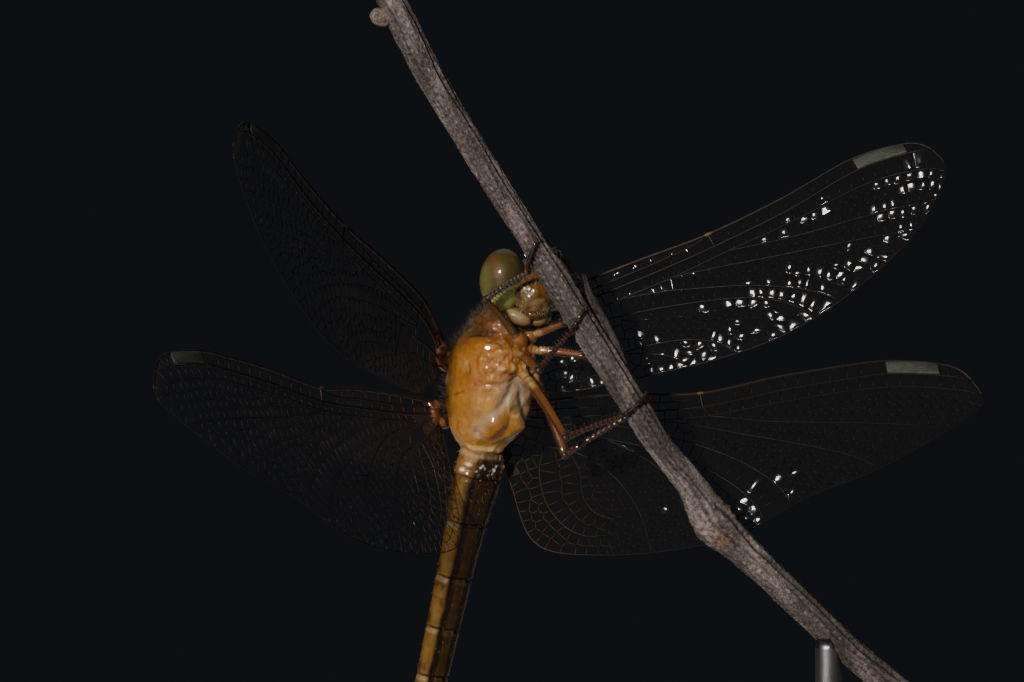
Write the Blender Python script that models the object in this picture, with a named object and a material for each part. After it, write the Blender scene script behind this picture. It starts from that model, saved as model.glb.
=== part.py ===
"""Keeled skimmer dragonfly clinging under a twig, life size, on a small display stand.

Sizes are in millimetres in the tables and are turned into metres when meshes are made.
The stand's underside lies on z = 0 with its centre at the world origin.
"""
import math

import bmesh
import bpy
import numpy as np
from mathutils import Euler, Matrix, Vector

MM = 0.001

# ---- overall pose ----------------------------------------------------------
THORAX_CENTRE = (-7.0, 0.0, 40.0)
THORAX_TURN = (-17.0, -77.0, -40.5)    # roll, pitch, yaw: the body hangs nearly upright
HEAD_CENTRE = (6.9, 0.6, -1.25)        # in thorax axes: forward, left, up
HEAD_TURN = (-89.7, 80.7, -95.6)       # the crown stays up while the body hangs

# ---- thorax and prothorax: forward, top, bottom, half width -------------------
FLANK_FULLNESS = 0.06                  # extra breadth between the sides and the back
THORAX_RINGS = (
    (-3.70, 1.15, -1.45, 1.25), (-3.10, 1.75, -1.85, 1.65), (-2.10, 2.35, -2.70, 2.00),
    (-0.90, 2.75, -2.95, 2.28), (0.50, 2.90, -3.00, 2.35), (1.70, 2.85, -2.95, 2.30),
    (2.60, 2.50, -2.70, 2.10), (3.20, 1.90, -2.20, 1.70), (3.45, 1.20, -1.60, 1.15))
PROTHORAX_RINGS = (
    (3.52, 1.25, -1.75, 1.30), (3.80, 1.50, -1.85, 1.60), (4.30, 1.35, -1.75, 1.45),
    (4.70, 0.75, -1.45, 1.00), (5.10, 0.10, -1.30, 0.62), (5.50, -0.20, -1.20, 0.55))

# ---- abdomen ----------------------------------------------------------------
SEGMENT_LENGTHS = (1.4, 3.0, 3.5, 3.3, 3.1, 3.0, 2.8, 1.9, 1.2, 0.8)
ABDOMEN_START = -3.87                  # forward position of the waist
ABDOMEN_DROP = 0.10                    # waist below the thorax's own axis
ABDOMEN_RISE = 4.0                     # degrees the tail is lifted toward the back
SEGMENT_GAP = 0.05
SEGMENT_PARTS = (0.0, 0.06, 0.5, 0.94, 1.0)
SEGMENT_RIM = 0.96                     # size of both rims against the segment between them
KEEL_PINCH = 0.20                      # hollow on each side of the ridge along the back
BELLY_FULLNESS = 0.10
BELLY_DROP = 0.08                      # how far each ring hangs below its axis
HALF_WIDTHS = (1.30, 1.55, 1.30, 1.16, 1.10, 1.04, 1.00, 1.00, 0.95, 0.80, 0.60)
HALF_HEIGHTS = (1.35, 1.50, 1.18, 1.04, 0.98, 0.90, 0.88, 0.86, 0.80, 0.68, 0.50)
CERCUS_PATH = ((0.0, 0.0, 0.0), (-0.5, 0.05, 0.05), (-1.1, 0.08, 0.1), (-1.5, 0.02, 0.08))
CERCUS_RADII = (0.26, 0.28, 0.27, 0.25)
CERCUS_ROOT = (-0.32, 0.33, 0.05)      # from the end of the last segment

# ---- wings: distance along the span, distance behind the root line -------------
WING_THICKNESS = 0.5
FOREWING_FRONT = ((0.0, -0.8), (3.2, -1.9), (7.2, -1.6), (11.0, -1.05), (15.0, -0.4),
                  (20.0, -0.1), (25.0, -0.15), (28.2, 0.65), (29.4, 1.6), (29.85, 3.1))
FOREWING_REAR = ((0.0, 1.2), (2.3, 3.8), (5.0, 5.0), (8.8, 6.2), (12.2, 7.2),
                 (16.2, 7.85), (20.6, 7.6), (25.2, 6.5), (28.2, 4.9), (29.75, 3.6))
HINDWING_FRONT = ((-0.1, -0.1), (4.1, 0.1), (8.4, 0.5), (12.7, 1.15), (17.5, 0.85),
                  (21.6, 0.8), (24.3, 0.9), (27.4, 1.6), (28.9, 2.5), (29.75, 4.2))
HINDWING_REAR = ((0.0, 1.4), (0.35, 5.2), (1.3, 9.2), (5.0, 10.55), (10.0, 10.95),
                 (13.9, 10.5), (18.0, 8.9), (22.6, 7.8), (27.2, 6.0), (29.6, 4.8))
WING_STEPS = 19
PLEAT_DEPTH = 0.14
PLEAT_FADE = 0.7                       # how much of the pleats is lost at the tip
PLEATS = ((0.0, 0.6), (0.10, -1.0), (0.20, 1.0), (0.45, -0.2), (0.75, 0.1), (1.0, 0.0))
WINGS = {   # root in thorax axes, forward sweep, droop, nose-up turn (degrees)
    "forewing_left": ((1.3, 1.95, 2.75), 42.5, 22.0, 33.0),
    "forewing_right": ((1.3, -1.95, 2.75), 34.0, 21.5, 24.0),
    "hindwing_left": ((-1.7, 2.1, 2.3), 21.0, 28.0, 32.0),
    "hindwing_right": ((-1.7, -2.1, 2.3), 12.0, 21.5, 36.0)}

# ---- head, in its own axes: forward, left, up ------------------------------------
EYE_CENTRE = (-0.05, 1.55, 0.10)
EYE_RADII = (1.50, 1.42, 1.92)
CORE_RADII = (1.20, 2.05, 1.45)
FRONS_CENTRE = (1.15, 0.0, -0.55)
FRONS_RADII = (1.08, 1.20, 1.10)
LABRUM_CENTRE = (1.15, 0.0, -1.75)
LABRUM_RADII = (0.75, 0.85, 0.45)
LABIUM_CENTRE = (0.40, 0.0, -1.98)
LABIUM_RADII = (0.82, 1.42, 0.56)
ANTENNA_ROOT = (1.35, 0.5, 0.95)
ANTENNA_PATH = ((0.0, 0.0, 0.0), (-0.25, 0.20, 0.80), (-0.80, 0.42, 1.85))
ANTENNA_RADII = (0.27, 0.25, 0.25)
JOIN_GAP = 0.05                        # clearance where neighbouring pieces meet

# ---- perch: points from the thorax centre along world axes, and radius -------------
PERCH_POINTS = (
    (-6.3, -7.2, 24.2, 0.80), (-5.7, -7.0, 23.0, 0.86), (-4.8, -6.8, 21.2, 0.87),
    (-3.3, -6.3, 18.3, 0.84), (-1.8, -6.0, 15.8, 0.78), (0.3, -5.5, 12.4, 0.80),
    (2.1, -5.0, 9.6, 0.75), (2.9, -4.8, 8.3, 0.75), (4.1, -4.6, 6.5, 0.90),
    (5.9, -4.1, 3.5, 0.86), (8.1, -3.6, 0.1, 0.88), (10.2, -3.3, -3.3, 0.80),
    (12.1, -3.3, -5.7, 0.86), (13.5, -3.3, -8.0, 1.30), (15.4, -3.3, -9.8, 0.98),
    (17.1, -3.3, -11.4, 0.92), (21.5, -3.3, -15.6, 0.86), (25.6, -3.3, -19.0, 0.88))
STUB_POINTS = (
    (5.85, -3.9, 6.35, 0.10), (6.15, -3.8, 5.40, 0.28), (6.85, -3.65, 3.90, 0.42),
    (7.60, -3.5, 2.30, 0.46), (8.25, -3.35, 0.90, 0.34))
BUD_CENTRE = (-6.25, -7.2, 22.0)
BUD_RADII = (0.75, 0.55, 0.62)

# ---- legs: points from the thorax centre along world axes ---------------------------
FEMUR_RADII = (0.46, 0.39, 0.34, 0.28)  # hip, thigh, thigh, knee
FEMUR_PARTS = (0.0, 0.25, 0.6, 1.0)
FEMUR_SHORTFALL = 0.1                  # the thigh ends this far before the knee's centre
SHIN_RADIUS = 0.25
SHIN_START = 0.69                      # from the knee's centre
SHIN_SHORTFALL = 0.56                  # before the foot's first point
FOOT_PARTS = (0.0, 0.33, 0.67, 1.0)
TOE_REACH = 1.34
LEGS = {    # root and knee
    "front_right": ((1.7, -2.1, 3.1), (-0.2, -4.4, 5.3)),
    "middle_right": ((1.7, -2.3, 2.1), (3.0, -6.4, 1.1)),
    "hind_right": ((2.0, -2.3, 1.0), (4.6, -5.8, -2.9)),
    "front_left": ((2.7, -1.3, 3.2), (4.6, -2.45, 3.95)),
    "middle_left": ((2.6, -1.4, 2.3), (6.1, -2.2, 1.9)),
    "hind_left": ((2.7, -1.4, 0.8), (4.6, -3.0, -4.0))}
TOES = {    # both ends of the foot: height on the perch, bearing round it, reach from it
    "front_right": ((7.6, 185.0, TOE_REACH), (8.7, 280.0, TOE_REACH)),
    "middle_right": ((3.9, 215.0, TOE_REACH), (4.6, 300.0, TOE_REACH)),
    "hind_right": ((-1.1, 215.0, TOE_REACH), (-0.8, 330.0, TOE_REACH)),
    "front_left": ((7.3, 50.0, TOE_REACH), (7.9, -30.0, TOE_REACH)),
    "middle_left": ((3.6, 50.0, 2.2), (5.9, 42.0, 2.1)),
    "hind_left": ((-1.4, 120.0, TOE_REACH), (-1.1, 35.0, TOE_REACH))}

# ---- stand ------------------------------------------------------------------------
BASE_RADIUS = 22.0
BASE_HEIGHT = 4.0
BASE_EDGE = 0.6
ROD_RADIUS = 0.8
ROD_GAP = 0.06                         # between the base's top and a rod's foot
ROD_PLACES = {"stand_rod_inner": (13.4, -3.3, 25.3), "stand_rod_outer": (17.4, -3.3, 21.9)}

COLOURS = {   # base colour, metallic, roughness
    "thorax": ((0.72, 0.36, 0.07), 0.0, 0.35), "abdomen": ((0.70, 0.36, 0.06), 0.0, 0.35),
    "head": ((0.52, 0.30, 0.09), 0.0, 0.35), "mouth": ((0.62, 0.55, 0.18), 0.0, 0.4),
    "eye": ((0.42, 0.36, 0.12), 0.0, 0.15), "feeler": ((0.05, 0.03, 0.02), 0.0, 0.4),
    "wing": ((0.62, 0.58, 0.45), 0.0, 0.2), "femur": ((0.60, 0.28, 0.06), 0.0, 0.4),
    "tibia": ((0.20, 0.06, 0.03), 0.0, 0.4), "tarsus": ((0.03, 0.02, 0.02), 0.0, 0.4),
    "bark": ((0.40, 0.32, 0.29), 0.0, 0.9), "base": ((0.10, 0.07, 0.05), 0.0, 0.5),
    "rod": ((0.55, 0.55, 0.56), 1.0, 0.3)}


def clear_scene():
    for obj in list(bpy.data.objects):
        bpy.data.objects.remove(obj, do_unlink=True)


def material(key, name):
    colour, metallic, roughness = COLOURS[key]
    mat = bpy.data.materials.new(name)
    mat.use_nodes = True
    shader = mat.node_tree.nodes["Principled BSDF"]
    shader.inputs["Base Color"].default_value = (*colour, 1.0)
    shader.inputs["Metallic"].default_value = metallic
    shader.inputs["Roughness"].default_value = roughness
    return mat


def make(name, points, faces, colour, parent=None, place=(0, 0, 0), turn=None):
    mesh = bpy.data.meshes.new(name)
    mesh.from_pydata([tuple(Vector(p) * MM) for p in points], [], faces)
    shell = bmesh.new()
    shell.from_mesh(mesh)
    bmesh.ops.recalc_face_normals(shell, faces=shell.faces)
    shell.to_mesh(mesh)
    shell.free()
    mesh.shade_smooth()
    obj = bpy.data.objects.new(name, mesh)
    bpy.context.scene.collection.objects.link(obj)
    mesh.materials.append(material(colour, name + "_finish"))
    obj.parent = parent
    obj.location = Vector(place) * MM
    if turn is not None:
        obj.rotation_euler = Euler([math.radians(a) for a in turn], "XYZ")
    return obj


def combine(target, guide, operation, name):
    """Boolean of a body with a guide that is never seen."""
    guide.hide_render = True
    guide.display_type = "WIRE"
    step = target.modifiers.new(name, "BOOLEAN")
    step.operation = operation
    step.solver = "EXACT"
    step.object = guide


def cut(target, tool_points, tool_faces, name, place=(0, 0, 0), turn=None):
    """Trim one body where its neighbour meets it."""
    tool = make("guide_" + name, tool_points, tool_faces, "rod", target.parent, place, turn)
    combine(target, tool, "DIFFERENCE", "trim_" + name)


def mirrored(point, sign):
    return point[0], point[1] * sign, point[2]


def grown(radii, extra):
    return tuple(r + extra for r in radii)


def skin_rings(rings):
    """Closed body through rings that all have the same number of points."""
    count = len(rings[0])
    points = [tuple(p) for ring in rings for p in ring]
    faces = []
    for i in range(len(rings) - 1):
        for j in range(count):
            a, b = i * count + j, i * count + (j + 1) % count
            faces.append((a, b, b + count, a + count))
    faces.append(tuple(reversed(range(count))))
    last = (len(rings) - 1) * count
    faces.append(tuple(range(last, last + count)))
    return points, faces


def ellipsoid(centre, radii, rings=11, count=18):
    """Ball stretched along its own axes, with a pole at each end of the up axis."""
    points = [(centre[0], centre[1], centre[2] - radii[2])]
    for i in range(1, rings):
        tilt = -math.pi / 2 + math.pi * i / rings
        for j in range(count):
            turn = 2 * math.pi * j / count
            points.append((centre[0] + radii[0] * math.cos(tilt) * math.cos(turn),
                           centre[1] + radii[1] * math.cos(tilt) * math.sin(turn),
                           centre[2] + radii[2] * math.sin(tilt)))
    points.append((centre[0], centre[1], centre[2] + radii[2]))
    top = len(points) - 1
    faces = [(0, 1 + (j + 1) % count, 1 + j) for j in range(count)]
    for i in range(rings - 2):
        for j in range(count):
            a, b = 1 + i * count + j, 1 + i * count + (j + 1) % count
            faces.append((a, b, b + count, a + count))
    start = 1 + (rings - 2) * count
    faces += [(start + j, start + (j + 1) % count, top) for j in range(count)]
    return points, faces


def body_rings(stations, count=18, grow=0.0):
    """Rings across the forward axis; the flanks are fuller than a plain oval."""
    rings = []
    ends = {0: -grow, len(stations) - 1: grow}
    for i, (forward, top, bottom, half) in enumerate(stations):
        forward += ends.get(i, 0.0)
        middle, tall = (top + bottom) / 2, (top - bottom) / 2 + grow
        ring = []
        for j in range(count):
            turn = 2 * math.pi * j / count
            side, rise = math.sin(turn), math.cos(turn)
            full = 1.0 + FLANK_FULLNESS * abs(math.sin(2 * turn))
            ring.append((forward, (half + grow) * side * full, middle + tall * rise * full))
        rings.append(ring)
    return rings


def build_thorax():
    points, faces = skin_rings(body_rings(THORAX_RINGS))
    return make("thorax", points, faces, "thorax", None, THORAX_CENTRE, THORAX_TURN)


def build_prothorax(thorax):
    points, faces = skin_rings(body_rings(PROTHORAX_RINGS, 16))
    neck = make("prothorax", points, faces, "thorax", thorax)
    cut(neck, *skin_rings(body_rings(THORAX_RINGS, 18, JOIN_GAP)), "thorax_front")
    core = ellipsoid((0, 0, 0), grown(CORE_RADII, JOIN_GAP), 9, 16)
    cut(neck, *core, "neck_front", HEAD_CENTRE, HEAD_TURN)
    for side, sign in (("left", 1), ("right", -1)):
        eye = ellipsoid(mirrored(EYE_CENTRE, sign), grown(EYE_RADII, JOIN_GAP), 10, 16)
        cut(neck, *eye, "neck_eye_" + side, HEAD_CENTRE, HEAD_TURN)
    lips = ellipsoid(LABIUM_CENTRE, grown(LABIUM_RADII, JOIN_GAP), 8, 16)
    cut(neck, *lips, "neck_labium", HEAD_CENTRE, HEAD_TURN)


def abdomen_ring(back, half, tall, count=16):
    """Keeled across: a ridge along the back and a flatter underside."""
    ring = []
    for j in range(count):
        turn = 2 * math.pi * j / count
        side, rise = math.sin(turn), math.cos(turn)
        if rise > 0:
            pinch = 1.0 - KEEL_PINCH * math.sin(2 * abs(math.atan2(side, rise)))
        else:
            pinch = 1.0 + BELLY_FULLNESS * abs(math.sin(2 * turn))
        ring.append((-back, half * side * pinch, tall * (rise * pinch - BELLY_DROP)))
    return ring


def build_abdomen(thorax):
    start, places = 0.0, []
    for length in SEGMENT_LENGTHS:
        places.append((start, start + length - SEGMENT_GAP))
        start += length
    slope = math.tan(math.radians(ABDOMEN_RISE))
    for i, (front, rear) in enumerate(places):
        rings = []
        for part in SEGMENT_PARTS:
            half = HALF_WIDTHS[i] + (HALF_WIDTHS[i + 1] - HALF_WIDTHS[i]) * part
            tall = HALF_HEIGHTS[i] + (HALF_HEIGHTS[i + 1] - HALF_HEIGHTS[i]) * part
            shrink = SEGMENT_RIM if part in (0.0, 1.0) else 1.0
            rings.append(abdomen_ring((rear - front) * part, half * shrink, tall * shrink))
        place = (ABDOMEN_START - front, 0.0, front * slope - ABDOMEN_DROP)
        points, faces = skin_rings(rings)
        segment = make(f"abdomen_{i + 1}", points, faces, "abdomen", thorax, place)
        segment.rotation_euler = (0.0, math.radians(ABDOMEN_RISE), 0.0)
    end = Vector((ABDOMEN_START - start, 0.0, start * slope - ABDOMEN_DROP))
    for side, sign in (("left", 1), ("right", -1)):
        cercus = tube([mirrored(p, sign) for p in CERCUS_PATH], CERCUS_RADII, 8)
        place = end + Vector(mirrored(CERCUS_ROOT, sign))
        make("cercus_" + side, *cercus, "feeler", thorax, place)


def tube(path, radii, count=7):
    """Round limb with short domed ends along a path."""
    path = [Vector(p) for p in path]
    side, rings = None, []
    for i, point in enumerate(path):
        ahead = path[min(i + 1, len(path) - 1)] - path[max(i - 1, 0)]
        ahead.normalize()
        if side is None:
            side = ahead.orthogonal().normalized()
        side = (side - ahead * side.dot(ahead)).normalized()
        other = ahead.cross(side)
        steps = [(0.0, 1.0)]
        if i == 0:
            steps = [(-1.0, 0.35), (-0.55, 0.82), (0.0, 1.0)]
        elif i == len(path) - 1:
            steps = [(0.0, 1.0), (0.55, 0.82), (1.0, 0.35)]
        for shift, scale in steps:
            middle = point + ahead * (shift * radii[i])
            rings.append([middle + (side * math.cos(t) + other * math.sin(t)) * radii[i] * scale
                          for t in (2 * math.pi * j / count for j in range(count))])
    return skin_rings(rings)


def smooth_line(points, steps):
    """Evenly drawn curve through a few points."""
    pts = np.array(points, float)
    padded = np.vstack([2 * pts[0] - pts[1], pts, 2 * pts[-1] - pts[-2]])
    out = []
    for value in steps:
        place = value * (len(pts) - 1)
        i = min(int(place), len(pts) - 2)
        t = place - i
        a, b, c, d = padded[i:i + 4]
        out.append(0.5 * (2 * b + (c - a) * t + (2 * a - 5 * b + 4 * c - d) * t * t
                          + (3 * b - a - 3 * c + d) * t ** 3))
    return np.array(out)


def wing_body(front, rear, mirror):
    """Pleated plate between the front edge and the rear edge, from root to tip."""
    steps = np.linspace(0.0, 1.0, WING_STEPS)
    ahead, behind = smooth_line(front, steps), smooth_line(rear, steps)
    rings = []
    for step, lead, trail in zip(steps, ahead, behind):
        upper, lower = [], []
        for part, pleat in PLEATS:
            x, y = lead + (trail - lead) * part
            lift = PLEAT_DEPTH * pleat * (1.0 - PLEAT_FADE * step)
            upper.append((x, -y * mirror, lift + WING_THICKNESS / 2))
            lower.append((x, -y * mirror, lift - WING_THICKNESS / 2))
        rings.append(upper + lower[::-1])
    return skin_rings(rings)


def wing_turn(side, sweep, droop, nose_up):
    """Axes of one wing: along the span, toward the front edge, and its face."""
    s, d, n = (math.radians(v) for v in (sweep, droop, nose_up))
    span = Vector((math.sin(s) * math.cos(d), math.cos(s) * math.cos(d), -math.sin(d)))
    back = Vector((-1, 0, 0))
    back = (back - span * back.dot(span)).normalized()
    back = back * math.cos(n) - span.cross(back) * math.sin(n)
    if side == "right":
        span.y, back.y = -span.y, -back.y
    forward = -back if side == "left" else back
    return Matrix((span, forward, span.cross(forward))).transposed()


def build_wings(thorax):
    hull = skin_rings(body_rings(THORAX_RINGS, 18, JOIN_GAP))
    for name, (root, sweep, droop, nose_up) in WINGS.items():
        kind, side = name.split("_")
        front, rear = ((FOREWING_FRONT, FOREWING_REAR) if kind == "forewing"
                       else (HINDWING_FRONT, HINDWING_REAR))
        mirror = 1 if side == "left" else -1
        wing = make(name, *wing_body(front, rear, mirror), "wing", thorax, root)
        wing.rotation_euler = wing_turn(side, sweep, droop, nose_up).to_euler("XYZ")
        cut(wing, *hull, name + "_root")


def build_head(thorax):
    core = ellipsoid((0, 0, 0), CORE_RADII, 9, 16)
    head = make("head", *core, "head", thorax, HEAD_CENTRE, HEAD_TURN)
    frons = make("guide_frons", *ellipsoid(FRONS_CENTRE, FRONS_RADII, 9, 16), "head", head)
    combine(head, frons, "UNION", "frons")
    return head


def build_face(head):
    core = ellipsoid((0, 0, 0), grown(CORE_RADII, JOIN_GAP), 9, 16)
    frons = ellipsoid(FRONS_CENTRE, grown(FRONS_RADII, JOIN_GAP), 9, 16)
    for side, sign in (("left", 1), ("right", -1)):
        ball, faces = ellipsoid((0, 0, 0), EYE_RADII, 10, 18)
        inner = JOIN_GAP / 2 - EYE_CENTRE[1]
        points = [(x, max(y * sign, inner) * sign, z) for x, y, z in ball]
        eye = make("eye_" + side, points, faces, "eye", head, mirrored(EYE_CENTRE, sign))
        cut(eye, *core, "core_" + side)
        cut(eye, *frons, "frons_" + side)
        antenna = tube([mirrored(p, sign) for p in ANTENNA_PATH], ANTENNA_RADII, 6)
        make("antenna_" + side, *antenna, "feeler", head, mirrored(ANTENNA_ROOT, sign))
    labrum = make("labrum", *ellipsoid(LABRUM_CENTRE, LABRUM_RADII, 8, 14), "mouth", head)
    cut(labrum, *core, "core_labrum")
    cut(labrum, *frons, "frons_labrum")
    labium = make("labium", *ellipsoid(LABIUM_CENTRE, LABIUM_RADII, 8, 16), "mouth", head)
    cut(labium, *core, "core_labium")
    cut(labium, *frons, "frons_labium")
    lip = ellipsoid(LABRUM_CENTRE, grown(LABRUM_RADII, JOIN_GAP), 8, 14)
    cut(labium, *lip, "labrum")
    for side, sign in (("left", 1), ("right", -1)):
        eye = ellipsoid(mirrored(EYE_CENTRE, sign), grown(EYE_RADII, JOIN_GAP), 10, 16)
        cut(labium, *eye, "labium_eye_" + side)


def from_thorax(point):
    return Vector(point) + Vector(THORAX_CENTRE)


def perch_centre(height):
    """Centre line of the perch at a height above the thorax centre."""
    for low, high in zip(PERCH_POINTS[1:], PERCH_POINTS):
        if low[2] <= height <= high[2]:
            part = (height - low[2]) / (high[2] - low[2])
            return Vector(low[:3]).lerp(Vector(high[:3]), part)
    return Vector(PERCH_POINTS[0][:3])


def toe_point(height, bearing, reach):
    """Point beside the perch; the bearing turns round it from world +X."""
    middle = perch_centre(height)
    along = (perch_centre(height + 0.8) - perch_centre(height - 0.8)).normalized()
    right = (Vector((1, 0, 0)) - along * along.x).normalized()
    away = along.cross(right)
    turn = math.radians(bearing)
    return middle + (right * math.cos(turn) + away * math.sin(turn)) * reach


def limb(name, path, radii, colour):
    """Leg piece whose origin is the joint nearer the body."""
    points = [Vector(p) - Vector(path[0]) for p in path]
    return make(name, *tube(points, radii), colour, None, from_thorax(path[0]))


def between(start, end, at_start, at_end, parts):
    """Points along a limb that is drawn in from its two joints."""
    start, end = Vector(start), Vector(end)
    along = (end - start).normalized()
    first, last = start + along * at_start, end - along * at_end
    return [first.lerp(last, part) for part in parts]


def build_legs():
    hull = skin_rings(body_rings(THORAX_RINGS, 18, JOIN_GAP))
    collar = skin_rings(body_rings(PROTHORAX_RINGS, 16, JOIN_GAP))
    for name, (root, knee) in LEGS.items():
        heel, toe = (Vector(end) for end in TOES[name])
        foot = [toe_point(*heel.lerp(toe, part)) for part in FOOT_PARTS]
        path = between(root, knee, 0.0, FEMUR_SHORTFALL, FEMUR_PARTS)
        femur = limb(f"leg_{name}_femur", path, FEMUR_RADII, "femur")
        cut(femur, *hull, f"leg_{name}_root", THORAX_CENTRE, THORAX_TURN)
        if name.startswith("front"):
            cut(femur, *collar, f"leg_{name}_collar", THORAX_CENTRE, THORAX_TURN)
        path = between(knee, foot[0], SHIN_START, SHIN_SHORTFALL, (0.0, 0.5, 1.0))
        limb(f"leg_{name}_tibia", path, [SHIN_RADIUS] * 3, "tibia")
        limb(f"leg_{name}_tarsus", foot, [SHIN_RADIUS] * 4, "tarsus")


def perch_tube(origin, grow):
    """Twig body measured from an origin, a little thicker when it is used to trim."""
    rows = PERCH_POINTS[::-1]
    path = [from_thorax(p[:3]) - Vector(origin) for p in rows]
    return tube(path, [p[3] + grow for p in rows], 12)


def build_perch():
    start = from_thorax(PERCH_POINTS[-1][:3])
    make("twig", *perch_tube(start, 0.0), "bark", None, start)
    root = from_thorax(STUB_POINTS[-1][:3])
    rows = STUB_POINTS[::-1]
    path = [from_thorax(p[:3]) - root for p in rows]
    stub = make("twig_stub", *tube(path, [p[3] for p in rows], 10), "bark", None, root)
    cut(stub, *perch_tube(root, JOIN_GAP), "twig", root)
    centre = from_thorax(BUD_CENTRE)
    bud = make("twig_bud", *ellipsoid((0, 0, 0), BUD_RADII, 7, 10), "bark", None, centre)
    cut(bud, *perch_tube(centre, JOIN_GAP), "bud", centre)


def build_stand():
    rings = []
    for height, radius in ((0.0, BASE_RADIUS - BASE_EDGE), (BASE_EDGE, BASE_RADIUS),
                           (BASE_HEIGHT - BASE_EDGE, BASE_RADIUS),
                           (BASE_HEIGHT, BASE_RADIUS - BASE_EDGE)):
        rings.append([(radius * math.cos(t), radius * math.sin(t), height)
                      for t in (2 * math.pi * j / 48 for j in range(48))])
    make("stand_base", *skin_rings(rings), "base")
    for name, (x, y, top) in ROD_PLACES.items():
        start = BASE_HEIGHT + ROD_GAP
        rings = [[(ROD_RADIUS * math.cos(t), ROD_RADIUS * math.sin(t), h)
                  for t in (2 * math.pi * j / 16 for j in range(16))]
                 for h in (0.0, top - start)]
        rod = make(name, *skin_rings(rings), "rod", None, (x, y, start))
        cut(rod, *perch_tube((x, y, start), JOIN_GAP), name + "_top", (x, y, start))


def main():
    clear_scene()
    thorax = build_thorax()
    build_prothorax(thorax)
    build_abdomen(thorax)
    build_wings(thorax)
    build_face(build_head(thorax))
    build_legs()
    build_perch()
    build_stand()


main()
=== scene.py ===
import math

import bpy
import numpy as np
from mathutils import Euler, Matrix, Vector


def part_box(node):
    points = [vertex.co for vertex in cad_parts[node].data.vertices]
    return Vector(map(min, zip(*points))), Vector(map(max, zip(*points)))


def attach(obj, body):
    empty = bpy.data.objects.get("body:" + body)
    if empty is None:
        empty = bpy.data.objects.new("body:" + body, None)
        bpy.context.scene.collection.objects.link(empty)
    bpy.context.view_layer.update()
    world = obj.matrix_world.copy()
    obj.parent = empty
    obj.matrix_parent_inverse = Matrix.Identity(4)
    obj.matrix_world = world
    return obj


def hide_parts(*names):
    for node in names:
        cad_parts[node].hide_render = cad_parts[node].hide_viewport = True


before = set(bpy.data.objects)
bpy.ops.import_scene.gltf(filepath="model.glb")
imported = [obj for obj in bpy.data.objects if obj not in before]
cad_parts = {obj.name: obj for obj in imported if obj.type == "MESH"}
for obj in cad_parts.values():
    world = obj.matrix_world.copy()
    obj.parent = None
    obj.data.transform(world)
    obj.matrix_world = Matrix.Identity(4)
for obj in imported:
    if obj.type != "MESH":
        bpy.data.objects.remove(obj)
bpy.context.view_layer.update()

MM = 0.001
rng = np.random.default_rng(11)


def turned(x, y, z):
    return np.array(Euler([math.radians(a) for a in (x, y, z)], "XYZ").to_matrix())


BODY_AT = np.array((-7.0, 0.0, 40.0))
BODY = turned(-17.0, -77.0, -40.5)
HEAD_AT = BODY_AT + BODY @ np.array((6.9, 0.6, -1.25))
HEAD = BODY @ turned(-89.7, 80.7, -95.6)
# Place of the key lamp and of the camera. The wet flats and the shining wing cells are tilted for
# these two places, so they shine from this camera and not from other sides.
KEY_AT = np.array((-205.0, -432.0, 175.0))
CAMERA_AT = np.array((-5.58, -260.0, 42.84))


def from_body(points):
    return np.asarray(points, float) @ BODY.T + BODY_AT


def from_head(points):
    return np.asarray(points, float) @ HEAD.T + HEAD_AT


# ---- shapes -----------------------------------------------------------------
def smooth(points, steps):
    """Curve through a few points, read at steps from 0 to 1."""
    pts = np.array(points, float)
    pad = np.vstack([2 * pts[0] - pts[1], pts, 2 * pts[-1] - pts[-2]])
    place = np.asarray(steps, float) * (len(pts) - 1)
    i = np.minimum(place.astype(int), len(pts) - 2)
    t = (place - i)[:, None]
    a, b, c, d = pad[i], pad[i + 1], pad[i + 2], pad[i + 3]
    return 0.5 * (2 * b + (c - a) * t + (2 * a - 5 * b + 4 * c - d) * t * t
                  + (3 * b - a - 3 * c + d) * t ** 3)


def even(line, count):
    """The same line with its points spaced evenly."""
    line = np.asarray(line, float)
    along = np.concatenate([[0], np.cumsum(np.linalg.norm(np.diff(line, axis=0), axis=1))])
    want = np.linspace(0, along[-1], count)
    return np.stack([np.interp(want, along, line[:, k]) for k in range(line.shape[1])], 1)


def unit(v):
    v = np.asarray(v, float)
    return v / np.maximum(np.linalg.norm(v, axis=-1, keepdims=True), 1e-9)


def line_distance(points, line):
    """Distance of each point from a line through several corners."""
    line = np.asarray(line, float)
    best = np.full(len(points), 1e9)
    for a, b in zip(line, line[1:]):
        d = b - a
        t = np.clip(((points - a) @ d) / (d @ d), 0, 1)
        best = np.minimum(best, np.linalg.norm(points - a - t[:, None] * d, axis=1))
    return best


def ramp(x, low, high):
    t = np.clip((np.asarray(x, float) - low) / (high - low), 0, 1)
    return t * t * (3 - 2 * t)


def blend(colour, other, amount):
    return colour + (np.asarray(other, float) - colour) * np.asarray(amount)[..., None]


def ripple(points, scale, seed):
    """Smooth pseudo-random value from -1 to 1 at each point."""
    draw = np.random.default_rng(seed)
    total = np.zeros(len(points))
    for _ in range(7):
        wave = draw.normal(size=points.shape[1]) * scale
        total += np.sin(points @ wave + draw.uniform(0, 6.28))
    return total / 4.0


def angles(count):
    """Even steps round one turn."""
    return np.arange(count) * 2 * math.pi / count


def latitudes(rows):
    """Even steps from pole to pole, without the poles."""
    return np.linspace(-math.pi / 2, math.pi / 2, rows + 2)[1:-1]


def turn_gap(turn, at):
    """Signed angle from at, the short way round."""
    return (turn - at + math.pi) % (2 * math.pi) - math.pi


def circle(t, side, other):
    """Unit circle at angles t round each point of a path, from the two directions across it."""
    return np.cos(t)[None, :, None] * side[:, None] + np.sin(t)[None, :, None] * other[:, None]


def capped(values):
    """Values of a loft's points with the first and last again, for the middles of its caps."""
    return np.vstack([values, values[:1], values[-1:]])


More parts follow.
